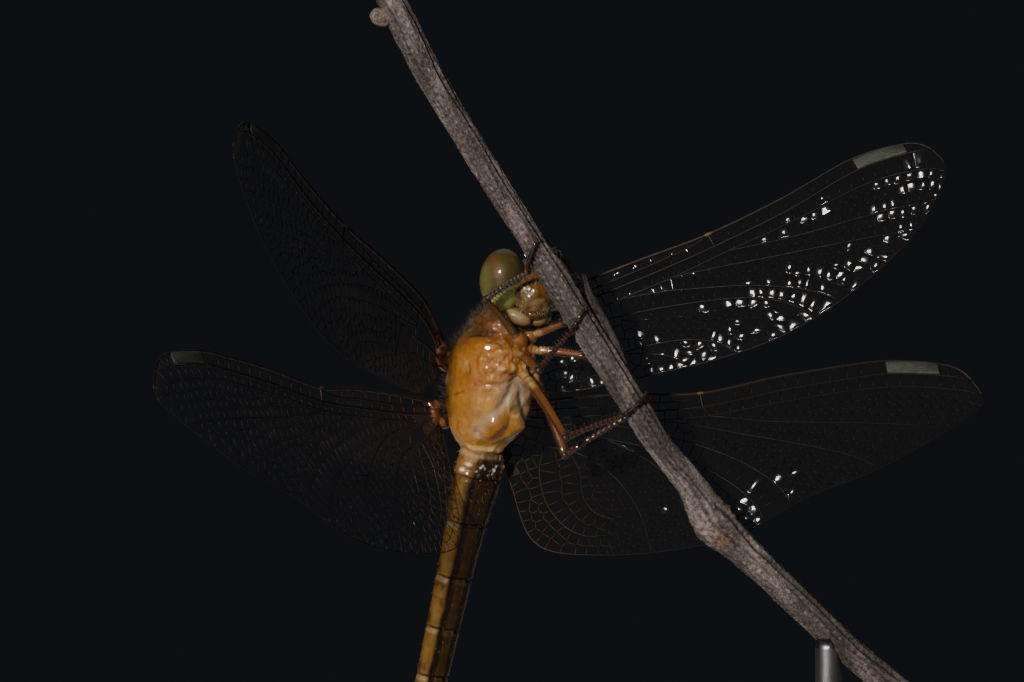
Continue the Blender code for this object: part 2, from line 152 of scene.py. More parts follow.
class Shape:
    """Parts of one piece: points in millimetres, faces, a tint and a texture place per point."""

    def __init__(self):
        self.points, self.tints, self.places, self.faces, self.kinds = [], [], [], [], []
        self.size = 0

    def add(self, points, faces, tint=(0.5, 0.5, 0.5), kind=0, place=None):
        points = np.asarray(points, float).reshape(-1, 3)
        tint = np.asarray(tint, float)
        self.points.append(points)
        self.tints.append(np.broadcast_to(tint, (len(points), 3)))
        self.places.append(points if place is None else np.asarray(place, float).reshape(-1, 3))
        for f in (faces if isinstance(faces, list) else [faces]):
            if len(f):
                f = np.asarray(f, int)
                self.faces.append(f + self.size)
                self.kinds.append(np.full(len(f), kind))
        self.size += len(points)

    def build(self, name, finishes, replaces=(), patches=None):
        points = np.concatenate(self.points) * MM
        corners = np.concatenate([f.ravel() for f in self.faces])
        sizes = np.concatenate([np.full(len(f), f.shape[1]) for f in self.faces])
        mesh = bpy.data.meshes.new(name)
        mesh.vertices.add(len(points))
        mesh.vertices.foreach_set("co", points.ravel())
        mesh.loops.add(len(corners))
        mesh.loops.foreach_set("vertex_index", corners)
        mesh.polygons.add(len(sizes))
        mesh.polygons.foreach_set("loop_start", np.concatenate([[0], np.cumsum(sizes)[:-1]]))
        mesh.polygons.foreach_set("material_index", np.concatenate(self.kinds))
        mesh.update(calc_edges=True)
        mesh.shade_smooth()
        tint = np.concatenate(self.tints)
        colours = mesh.color_attributes.new("tint", "FLOAT_COLOR", "POINT")
        colours.data.foreach_set("color", np.hstack([tint, np.ones((len(tint), 1))]).ravel())
        grain = mesh.attributes.new("grain", "FLOAT_VECTOR", "POINT")
        grain.data.foreach_set("vector", np.concatenate(self.places).ravel())
        if patches is not None:
            uv = mesh.uv_layers.new(name="OFBake")
            uv.data.foreach_set("uv", np.asarray(patches, float)[corners].ravel())
        for finish in finishes:
            mesh.materials.append(finish)
        piece = bpy.data.objects.new(name, mesh)
        bpy.context.scene.collection.objects.link(piece)
        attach(piece, "root")
        if replaces:
            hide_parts(*replaces)
        return piece


def loft(rings, caps=True):
    """Skin over rings with equal counts of points; outward faces. Returns points and faces."""
    rings = np.asarray(rings, float)
    rows, count = rings.shape[:2]
    points = rings.reshape(-1, 3)
    i, j = np.meshgrid(np.arange(rows - 1), np.arange(count), indexing="ij")
    a = (i * count + j).ravel()
    b = (i * count + (j + 1) % count).ravel()
    quads = np.stack([a, b, b + count, a + count], 1)
    middle = rings[0].mean(0)
    p0, p1, p3 = points[quads[0, 0]], points[quads[0, 1]], points[quads[0, 3]]
    flip = np.dot(np.cross(p1 - p0, p3 - p0), p0 - middle) < 0
    if flip:
        quads = quads[:, ::-1]
    if not caps:
        return points, [quads]
    ends = [rings[0].mean(0), rings[-1].mean(0)]
    points = np.vstack([points, ends])
    j = np.arange(count)
    k = (j + 1) % count
    first = np.stack([np.full(count, rows * count), k, j], 1)
    last = np.stack([np.full(count, rows * count + 1), (rows - 1) * count + j,
                     (rows - 1) * count + k], 1)
    if flip:
        first, last = first[:, ::-1], last[:, ::-1]
    return points, [quads, np.vstack([first, last])]


def frames(path):
    """Two directions across a path at each of its points, without twist."""
    ahead = unit(np.gradient(path, axis=0))
    side = np.zeros_like(path)
    side[0] = unit(np.cross(ahead[0], (0.31, 0.87, 0.38)))
    for i in range(1, len(path)):
        side[i] = unit(side[i - 1] - ahead[i] * (side[i - 1] @ ahead[i]))
    return side, np.cross(ahead, side)


def tube_rings(path, radii, sides=8):
    path, radii = np.asarray(path, float), np.asarray(radii, float)
    side, other = frames(path)
    t = angles(sides)
    return path[:, None] + radii[:, None, None] * circle(t, side, other)


def tube(path, radii, sides=8):
    """Round limb along a path, with domed ends."""
    path, radii = np.asarray(path, float), np.asarray(radii, float)
    first, last = unit(path[0] - path[1]), unit(path[-1] - path[-2])
    path = np.vstack([path[0] + first * radii[0] * 0.8, path[0] + first * radii[0] * 0.5, path,
                      path[-1] + last * radii[-1] * 0.5, path[-1] + last * radii[-1] * 0.8])
    radii = np.concatenate([[radii[0] * 0.3, radii[0] * 0.8], radii,
                            [radii[-1] * 0.8, radii[-1] * 0.3]])
    return loft(tube_rings(path, radii, sides))


def struts(a, b, radius, sides=5):
    """Many straight thin rods at once."""
    a, b = np.asarray(a, float), np.asarray(b, float)
    ahead = unit(b - a)
    side = unit(np.cross(ahead, (0.12, 0.55, 0.83)))
    other = np.cross(ahead, side)
    radius = np.broadcast_to(np.asarray(radius, float), (len(a),))[:, None, None]
    t = angles(sides)
    ring = circle(t, side, other) * radius
    points = np.concatenate([a[:, None] + ring, b[:, None] + ring], 1)
    base = (np.arange(len(a)) * 2 * sides)[:, None]
    j = np.arange(sides)
    k = (j + 1) % sides
    quads = (base[:, :, None] + np.stack([j, k, k + sides, j + sides], 1)[None]).reshape(-1, 4)
    ends = np.vstack([base + j[::-1][None], base + sides + j[None]])
    return points.reshape(-1, 3), [quads, ends]


def ball(centre, radii, rows=24, count=32, field=None):
    """Egg-shaped lump with its poles on the first axis."""
    tilt = latitudes(rows)
    t = angles(count)
    rings = np.stack([np.broadcast_to(np.sin(tilt)[:, None], (rows, count)),
                      np.cos(tilt)[:, None] * np.cos(t)[None],
                      np.cos(tilt)[:, None] * np.sin(t)[None]], 2)
    if field is not None:
        rings = field(rings)
    return loft(rings * np.asarray(radii, float) + np.asarray(centre, float))


def tufts(roots, ways, lengths, width, sag, seed):
    """Thin bent hairs, each a fine three-sided spike. Returns points, faces and the hair of a point."""
    roots, ways = np.asarray(roots, float), unit(ways)
    lengths = np.broadcast_to(np.asarray(lengths, float), (len(roots),))[:, None]
    draw = np.random.default_rng(seed)
    side = unit(np.cross(ways, draw.normal(size=ways.shape)))
    other = np.cross(ways, side)
    bend = side * draw.uniform(-1, 1, (len(roots), 1)) * sag + np.asarray((0, 0, -0.15)) * sag
    t = angles(3)
    ring = circle(t, side, other)
    levels = []
    for part, thick in ((0.0, 1.0), (0.55, 0.7)):
        middle = roots + ways * lengths * part + bend * lengths * part ** 2
        levels.append(middle[:, None] + ring * width * thick)
    tip = roots + ways * lengths + bend * lengths
    points = np.concatenate([*levels, tip[:, None]], 1)
    base = (np.arange(len(roots)) * 7)[:, None]
    quads = np.array([(0, 1, 4, 3), (1, 2, 5, 4), (2, 0, 3, 5)])
    tris = np.array([(3, 4, 6), (4, 5, 6), (5, 3, 6), (2, 1, 0)])
    faces = [(base[:, :, None] + quads[None]).reshape(-1, 4),
             (base[:, :, None] + tris[None]).reshape(-1, 3)]
    return points.reshape(-1, 3), faces, np.repeat(np.arange(len(roots)), 7)


PATCH = 0.003      # size of one hair's place on the coat's map
PATCH_SHAPE = np.array([(0, 0), (1, 0), (0.5, 0.3), (0, 0.6), (1, 0.6), (0.5, 0.7), (0.5, 1)])


def hair_patches(root_uv):
    return (np.asarray(root_uv)[:, None] + (PATCH_SHAPE[None] - 0.5) * PATCH).reshape(-1, 2)


# ---- materials ------------------------------------------------------------------
def finish(name, rough=0.4, **values):
    """New material; values name plain sockets of its shader."""
    mat = bpy.data.materials.new(name)
    mat.use_nodes = True
    shader = mat.node_tree.nodes["Principled BSDF"]
    shader.inputs["Roughness"].default_value = rough
    for key, value in values.items():
        shader.inputs[key.replace("_", " ")].default_value = value
    return mat


def node(mat, kind, **values):
    made = mat.node_tree.nodes.new(kind)
    for key, value in values.items():
        if hasattr(made, key):
            setattr(made, key, value)
        else:
            made.inputs[key.replace("_", " ")].default_value = value
    return made


def mottled(name, rough=0.4, scale=2.0, contrast=0.3, shade=(0.4, 0.2, 0.1), fine=12.0,
            bump=0.02, rough_spread=0.1, place="grain", stretch=(1, 1, 1), tint=None, **values):
    """Tinted finish with procedural blotches, fine relief and uneven gloss."""
    mat = finish(name, rough, **values)
    link = mat.node_tree.links.new
    shader = mat.node_tree.nodes["Principled BSDF"]
    where = node(mat, "ShaderNodeAttribute", attribute_name=place)
    spread = node(mat, "ShaderNodeMapping")
    spread.inputs["Scale"].default_value = stretch
    link(where.outputs["Vector"], spread.inputs["Vector"])
    blotch = node(mat, "ShaderNodeTexNoise", Scale=scale, Detail=5.0, Roughness=0.6)
    link(spread.outputs["Vector"], blotch.inputs["Vector"])
    level = node(mat, "ShaderNodeMapRange", From_Min=0.35, From_Max=0.68, To_Min=0.0,
                 To_Max=contrast)
    link(blotch.outputs["Fac"], level.inputs["Value"])
    mix = node(mat, "ShaderNodeMix", data_type="RGBA", blend_type="MULTIPLY")
    mix.inputs[7].default_value = (*shade, 1.0)
    link(level.outputs["Result"], mix.inputs[0])
    if tint is None:
        colour = node(mat, "ShaderNodeAttribute", attribute_name="tint")
        link(colour.outputs["Color"], mix.inputs[6])
    else:
        mix.inputs[6].default_value = (*tint, 1.0)
    link(mix.outputs[2], shader.inputs["Base Color"])
    gloss = node(mat, "ShaderNodeMapRange", From_Min=0.3, From_Max=0.7,
                 To_Min=rough - rough_spread, To_Max=rough + rough_spread)
    link(blotch.outputs["Fac"], gloss.inputs["Value"])
    link(gloss.outputs["Result"], shader.inputs["Roughness"])
    pore = node(mat, "ShaderNodeTexNoise", Scale=fine, Detail=4.0, Roughness=0.65)
    link(spread.outputs["Vector"], pore.inputs["Vector"])
    relief = node(mat, "ShaderNodeBump", Strength=1.0, Distance=bump * MM)
    link(pore.outputs["Fac"], relief.inputs["Height"])
    link(relief.outputs["Normal"], shader.inputs["Normal"])
    return mat


CUTICLE = mottled("cuticle_amber", 0.30, 1.3, 0.55, (0.55, 0.36, 0.20), 7.0, 0.05,
                  Coat_Weight=0.65, Coat_Roughness=0.07, Specular_IOR_Level=0.22,
                  Subsurface_Weight=0.12,
                  Subsurface_Radius=(0.5, 0.2, 0.05), Subsurface_Scale=0.0006)
ABDOMEN = mottled("cuticle_abdomen", 0.30, 1.4, 0.55, (0.50, 0.32, 0.16), 9.0, 0.04,
                  Coat_Weight=0.15, Coat_Roughness=0.09, Specular_IOR_Level=0.10)
FACE = mottled("cuticle_face", 0.24, 2.0, 0.45, (0.55, 0.36, 0.20), 12.0, 0.02,
               Coat_Weight=0.8, Coat_Roughness=0.05, Specular_IOR_Level=0.25,
               Subsurface_Weight=0.15,
               Subsurface_Radius=(0.5, 0.25, 0.06), Subsurface_Scale=0.0004)
EYE = mottled("eye_facets", 0.36, 1.2, 0.30, (0.6, 0.5, 0.35), 26.0, 0.012, 0.03,
              Coat_Weight=0.45, Coat_Roughness=0.05, Specular_IOR_Level=0.12)
LIMB = mottled("cuticle_limb", 0.30, 2.5, 0.55, (0.45, 0.26, 0.14), 12.0, 0.03,
               Coat_Weight=0.9, Coat_Roughness=0.06, Specular_IOR_Level=0.15)
HAIR = mottled("hair", 0.45, 3.0, 0.2, (0.7, 0.6, 0.5), 20.0, 0.0, 0.05)
BARK = mottled("bark", 0.80, 5.5, 0.90, (0.20, 0.17, 0.16), 11.0, 0.20, 0.10,
               stretch=(1.0, 1.0, 0.8), Specular_IOR_Level=0.25)
VEIN = mottled("vein", 0.38, 2.0, 0.3, (0.5, 0.4, 0.3), 14.0, 0.01, 0.08,
               Specular_IOR_Level=0.15)
STIGMA = mottled("wing_spot", 0.45, 3.0, 0.45, (0.50, 0.46, 0.40), 10.0, 0.05, 0.08,
                 Specular_IOR_Level=0.25)
MEMBRANE = finish("membrane_clear", 0.09, Base_Color=(0.030, 0.022, 0.012, 1), Alpha=0.09,
                  IOR=1.75)
AMBER_MEMBRANE = finish("membrane_amber", 0.14, Base_Color=(0.11, 0.060, 0.018, 1), Alpha=0.30,
                        IOR=1.6)
PALE_MEMBRANE = finish("membrane_pale", 0.60, Base_Color=(0.016, 0.016, 0.012, 1), Alpha=0.8,
                       Specular_IOR_Level=0.1)

# ---- thorax, prothorax and waist ----------------------------------------------------
TRUNK = (   # forward, top, bottom, half width
    (-4.10, 0.95, -1.20, 0.98), (-3.75, 1.12, -1.38, 1.16), (-3.40, 1.48, -1.62, 1.42),
    (-3.10, 1.75, -1.85, 1.65), (-2.10, 2.35, -2.70, 2.00),
    (-0.90, 2.75, -2.95, 2.28), (0.50, 2.90, -3.00, 2.35), (1.70, 2.85, -2.95, 2.30),
    (2.60, 2.50, -2.70, 2.10), (3.15, 2.00, -2.25, 1.75), (3.42, 1.62, -1.95, 1.50),
    (3.60, 1.48, -1.84, 1.44), (3.90, 1.50, -1.82, 1.55), (4.30, 1.35, -1.72, 1.43),
    (4.70, 0.75, -1.43, 1.00), (5.10, 0.10, -1.28, 0.64), (5.60, -0.20, -1.15, 0.55))
AMBER = (0.28, 0.120, 0.019)
GOLD = (0.40, 0.195, 0.030)
RUST = (0.24, 0.070, 0.014)
ROSY = (0.36, 0.155, 0.045)
PALE = (0.52, 0.37, 0.19)
GREY_WHITE = (0.30, 0.235, 0.165)
OLIVE = (0.125, 0.092, 0.015)
UMBER = (0.10, 0.038, 0.010)
BLACK = (0.012, 0.008, 0.006)

# line in thorax axes, half width, depth (negative is a ridge), colour, strength, both sides
SEAMS = (
    (((0.38, -2.18, -1.49), (0.62, -1.63, -2.39), (0.75, -1.06, -2.81), (1.01, -0.50, -2.98),
      (1.35, -0.06, -2.97)), 0.075, 0.17, RUST, 0.95, True),
    (((0.24, -2.20, -1.49), (0.46, -1.66, -2.39), (0.60, -1.09, -2.81)),
     0.10, -0.07, ROSY, 0.6, True),
    (((-0.94, -2.12, 1.27), (-0.53, -2.30, 0.01), (-0.18, -2.30, -0.82)),
     0.06, 0.15, UMBER, 0.9, True),
    (((0.21, -1.90, -2.03), (-0.73, -1.89, -1.98), (-1.74, -1.75, -1.84),
      (-2.85, -1.49, -1.30)), 0.10, -0.02, GREY_WHITE, 0.18, True),
    (((0.10, -1.72, -2.25), (-0.73, -1.70, -2.20), (-1.60, -1.62, -2.05)),
     0.09, 0.07, AMBER, 0.4, True),
    (((0.75, -0.75, -2.93), (0.45, -0.70, -2.95), (0.09, -0.55, -2.99)),
     0.40, 0.05, GREY_WHITE, 0.55, True),
    (((1.16, -0.17, -2.98), (0.09, -0.46, -2.99), (-0.83, -0.90, -2.85),
      (-1.61, -1.42, -2.31), (-2.50, -1.45, -1.72)), 0.25, 0.13, GREY_WHITE, 0.8, True),
    (((-2.50, -1.45, -1.72), (-2.75, -0.90, -1.95), (-2.75, -0.2, -2.05)),
     0.13, 0.08, GREY_WHITE, 0.5, True),
    (((3.10, -1.55, -0.90), (2.45, -1.85, -1.45), (1.95, -2.12, -1.30), (1.10, -2.15, -1.75),
      (0.62, -2.02, -1.95)), 0.17, 0.06, RUST, 0.45, True),
    (((2.45, -1.85, -1.45), (2.20, -1.50, -2.25), (2.10, -0.90, -2.65), (2.15, -0.2, -2.80)),
     0.09, 0.15, UMBER, 0.65, True),
    (((3.05, -1.50, -1.40), (3.05, -0.90, -2.05), (3.00, -0.20, -2.30)),
     0.10, 0.16, UMBER, 0.7, True),
    (((1.55, -1.55, -2.55), (1.40, -1.00, -2.88), (1.45, -0.30, -2.98)),
     0.08, 0.12, RUST, 0.6, True),
    (((2.95, -1.90, 1.35), (2.75, -2.05, 0.20), (2.45, -2.10, -0.90)),
     0.05, 0.07, RUST, 0.5, True),
    (((1.30, -1.90, 2.45), (1.05, -2.30, 1.00), (0.80, -2.35, -0.30), (0.38, -2.18, -1.49)),
     0.05, 0.05, RUST, 0.35, True),
    (((2.9, -1.2, 1.6), (1.6, -1.1, 2.45), (0.4, -1.2, 2.6)), 0.16, -0.03, PALE, 0.5, True),
    (((3.3, 0.0, 1.8), (2.4, 0.0, 2.6), (1.2, 0.0, 2.95), (0.2, 0.0, 2.98)),
     0.07, -0.12, UMBER, 0.7, False),
    (((1.45, -2.27, -0.84), (1.22, -2.31, -0.97), (1.02, -2.30, -1.12)),
     0.050, 0.24, BLACK, 1.0, True),
    (((3.05, -1.90, 0.30), (3.18, -1.72, -0.04), (3.26, -1.55, -0.70), (3.33, -1.27, -1.14)),
     0.10, 0.12, BLACK, 0.85, True),
    (((2.62, -1.05, -2.35), (2.70, -0.55, -2.48), (2.67, 0.02, -2.40)),
     0.26, -0.20, ROSY, 0.5, False),
    (((1.72, -0.85, -2.80), (1.78, -0.30, -2.92), (1.65, 0.30, -2.85)),
     0.24, -0.20, AMBER, 0.4, False),
    (((3.55, -0.85, -1.80), (3.62, -0.40, -1.95), (3.61, 0.08, -2.00)),
     0.24, -0.16, RUST, 0.5, False),
    (((-3.62, -1.10, -0.9), (-3.55, -0.60, -1.40), (-3.50, 0.0, -1.55)),
     0.22, -0.10, PALE, 0.8, True))
# centre in thorax axes, radius, height, colour, strength, both sides
LUMPS = (
    ((1.55, -2.20, -0.62), 0.20, 0.07, PALE, 0.45, True),
    ((-0.25, 0.20, -3.05), 0.55, 0.12, OLIVE, 0.95, False),
    ((-1.65, -0.80, -2.75), 0.70, 0.24, RUST, 0.55, True),
    ((-1.55, 0.75, -2.75), 0.60, 0.16, OLIVE, 0.5, False),
    ((2.72, -1.62, -1.72), 0.30, 0.17, ROSY, 0.5, True),
    ((2.05, -1.85, -1.95), 0.24, 0.15, AMBER, 0.3, True),
    ((1.62, -1.70, -2.30), 0.26, 0.17, ROSY, 0.6, True),
    ((1.05, -1.55, -2.50), 0.28, 0.12, GOLD, 0.4, True),
    ((1.70, -1.12, -2.78), 0.22, 0.13, PALE, 0.5, True),
    ((2.50, -1.30, -2.18), 0.22, 0.12, ROSY, 0.6, True),
    ((1.98, -0.45, -2.90), 0.20, 0.12, PALE, 0.5, True),
    ((3.25, -0.75, -2.02), 0.24, 0.12, RUST, 0.4, True),
    ((0.30, -1.10, -2.80), 0.30, 0.10, GOLD, 0.5, True),
    ((-0.55, -1.45, -2.50), 0.45, 0.07, GOLD, 0.5, True),
    ((1.35, -2.10, 2.35), 0.55, 0.30, RUST, 0.6, True),
    ((-1.65, -2.15, 1.95), 0.55, 0.30, RUST, 0.7, True),
    ((-2.4, -1.9, 1.5), 0.35, 0.14, ROSY, 0.6, True),
    ((0.05, -2.25, 1.55), 0.40, 0.12, PALE, 0.5, True),
    ((-1.55, -2.20, 0.95), 0.30, 0.10, ROSY, 0.5, True),
    ((4.0, 0.0, 1.5), 0.60, 0.10, UMBER, 0.5, False))


# wet patches: place in thorax axes, radius
WET = (((2.80, -1.67, -1.72), 0.28), ((2.07, -1.97, -1.72), 0.17),
       ((1.64, -1.76, -2.19), 0.17), ((1.10, -1.70, -2.36), 0.14))


def wet(points, out, height, patches, middle, axes):
    """Relief with small flats that mirror the key light to the camera."""
    half = unit(unit(CAMERA_AT - middle) + unit(KEY_AT - middle)) @ axes
    for place, radius in patches:
        k = np.argmin(np.linalg.norm(points - np.array(place), axis=1))
        away, normal = points - points[k], out[k]
        window = np.exp(-(np.linalg.norm(away, axis=1) / radius) ** 6)
        facing = half @ normal
        flat = away @ (half - facing * normal) / -facing
        height = height * (1 - window) + window * flat
    return height


def trunk_relief(p):
    """Height over the plain trunk and colour at each point, in thorax axes."""
    x, z = p[:, 0], p[:, 2]
    colour = np.broadcast_to(np.array(AMBER), p.shape).copy()
    colour = blend(colour, GOLD, 0.85 * ramp(-x, -0.6, 1.4) * ramp(-z, -1.6, 0.6))
    colour = blend(colour, ROSY, 0.55 * ramp(x, 1.1, 1.8) * ramp(-z, 1.5, 2.3)
                   * ramp(-x, -3.2, -2.8))
    # painted shade: the thorax is darkened towards its top, at the rim
    colour = blend(colour, UMBER, 0.60 * ramp(z, 0.1, 1.9))
    colour = blend(colour, (0.065, 0.026, 0.009), 0.9 * ramp(x, 2.9, 3.35))
    colour = blend(colour, (0.190, 0.068, 0.013), 0.80 * ramp(x, 2.9, 3.4) * ramp(-z, 0.9, 1.5))
    colour = blend(colour, UMBER, 0.80 * ramp(x, 1.6, 2.8) * ramp(z, -1.0, 0.5))
    colour = blend(colour, RUST, 0.5 * ramp(ripple(p, 1.6, 12), 0.2, 1.2))
    coxal = ramp(x, 0.9, 1.6) * ramp(-z, 1.6, 2.2) * ramp(-x, -3.3, -2.9)
    patches = ramp(ripple(p, 0.9, 19), 0.1, 1.0)
    colour = blend(colour, (0.17, 0.064, 0.012), 0.68 * patches)
    colour = blend(colour, (0.47, 0.29, 0.085), 0.40 * ramp(ripple(p, 1.3, 20), 0.3, 1.2))
    colour = blend(colour, (0.20, 0.075, 0.015), 0.45 * ramp(ripple(p, 7.0, 24), 0.2, 1.1))
    height = 0.045 * ripple(p, 2.2, 3) + 0.020 * ripple(p, 6.0, 4) + 0.006 * ripple(p, 15.0, 5)
    height += coxal * (0.085 * ripple(p, 3.6, 13) + 0.045 * ripple(p, 8.5, 14))
    neck = ramp(x, 2.8, 3.3)
    height += neck * (0.03 * ripple(p, 5.0, 15) + 0.02 * ripple(p, 11.0, 16))
    colour = blend(colour, (0.16, 0.060, 0.018), 0.55 * coxal * ramp(ripple(p, 4.2, 17), 0.1, 0.9))
    colour = blend(colour, (0.52, 0.30, 0.14), 0.45 * coxal * ramp(ripple(p, 5.5, 18), 0.4, 1.1))
    for centre, radius, tall, tone, strength, both in LUMPS:
        for sign in (1, -1) if both else (1,):
            d = np.linalg.norm(p - np.array(centre) * (1, sign, 1), axis=1) / radius
            height += tall * np.exp(-d ** 2 * 1.6)
            colour = blend(colour, tone, strength * np.exp(-d ** 4))
    d = np.linalg.norm((p - np.array(LUMPS[1][0])) * (0.8, 1.15, 1), axis=1)
    rim = np.exp(-((d - 0.66) / 0.07) ** 2)
    colour = blend(colour, PALE, 0.7 * rim)
    height += 0.03 * rim
    for line, wide, deep, tone, strength, both in SEAMS:
        for sign in (1, -1) if both else (1,):
            d = line_distance(p, np.array(line) * (1, sign, 1))
            height -= deep * np.exp(-(d / wide) ** 2)
            colour = blend(colour, tone, strength * np.exp(-(d / (wide * 1.25)) ** 2))
    return height, np.clip(colour, 0.004, 1)


def trunk_rings(rows, count):
    line = smooth(TRUNK, np.linspace(0, 1, rows))
    t = angles(count)
    full = 1 + 0.06 * np.abs(np.sin(2 * t))
    middle, tall = (line[:, 1] + line[:, 2]) / 2, (line[:, 1] - line[:, 2]) / 2
    return np.stack([np.broadcast_to(line[:, :1], (rows, count)),
                     line[:, 3:4] * np.sin(t) * full,
                     middle[:, None] + tall[:, None] * np.cos(t) * full], 2)


def outward(rings):
    """Direction away from the surface at each point of a closed loft."""
    along = np.gradient(rings, axis=0)
    around = np.roll(rings, -1, 1) - np.roll(rings, 1, 1)
    out = unit(np.cross(along, around))
    middle = rings.mean(1, keepdims=True)
    sign = np.sign(((rings - middle) * out).sum(2).mean())
    return out * sign


def make_trunk():
    rows, count = 190, 250
    rings = trunk_rings(rows, count)
    out = outward(rings)
    height, colour = trunk_relief(rings.reshape(-1, 3))
    height = wet(rings.reshape(-1, 3), out.reshape(-1, 3), height, WET, BODY_AT, BODY)
    shape = Shape()
    skin = lay(shape, rings, out, height - 0.02, colour, from_body)
    shape.build("thorax_skin", [CUTICLE], ("thorax", "prothorax"))
    return skin.reshape(rows, count, 3), out


def coat(name, skin, out, count, lengths, width, lean, choose, tints, seed, place):
    """Hairs that stand on a skin grid and lean one way. place turns local points to the world."""
    draw = np.random.default_rng(seed)
    rows, cols = skin.shape[:2]
    i = draw.uniform(0, rows - 1.01, count * 4)
    j = draw.uniform(0, cols - 0.01, count * 4)
    points = skin[i.astype(int), j.astype(int)]
    points += (skin[np.minimum(i.astype(int) + 1, rows - 1), j.astype(int)] - points) \
        * (i % 1)[:, None]
    normals = out[i.astype(int), j.astype(int)]
    keep = np.flatnonzero(draw.uniform(0, 1, len(points)) < choose(points))[:count]
    ways = normals[keep] + np.asarray(lean) + draw.normal(size=(len(keep), 3)) * 0.22
    long = draw.uniform(*lengths, len(keep)) * (0.6 + 0.4 * choose(points[keep]))
    roots = place(points[keep] - normals[keep] * 0.02)
    ways = place(points[keep] + ways) - place(points[keep])
    made, faces, which = tufts(roots, ways, long, width, 0.25, seed + 1)
    tint = np.asarray(tints)[draw.integers(0, len(tints), len(keep))]
    uv = np.stack([i[keep] / rows, j[keep] / cols], 1) * 0.99 + 0.005
    shape = Shape()
    shape.add(made, faces, tint[which])
    return shape.build(name, [HAIR], (), hair_patches(uv))


def lay(shape, rings, out, height, colour, place, kind=0):
    """Add the skin raised by height over closed rings. Returns its points before placing."""
    skin = rings.reshape(-1, 3) + out.reshape(-1, 3) * height[:, None]
    points, faces = loft(place(skin).reshape(rings.shape))
    shape.add(points, faces, capped(colour), kind)
    return skin


# ---- abdomen -----------------------------------------------------------------------
SEGMENTS = (1.4, 3.0, 3.5, 3.3, 3.1, 3.0, 2.8, 1.9, 1.2, 0.8)
TAIL_START = -3.87
TAIL_RISE = 4.0
TAIL_WIDE = (1.30, 1.55, 1.30, 1.16, 1.10, 1.04, 1.00, 1.00, 0.95, 0.80, 0.60)
TAIL_TALL = (1.35, 1.50, 1.18, 1.04, 0.98, 0.90, 0.88, 0.86, 0.80, 0.68, 0.50)


def tail_point(s, y, z):
    """Point on the tail: s back from its start, y to the left and z above its axis."""
    rise = math.radians(TAIL_RISE)
    return np.stack([TAIL_START - s + z * math.sin(rise), y + 0 * s,
                     s * math.tan(rise) - 0.10 + z * math.cos(rise)], -1)


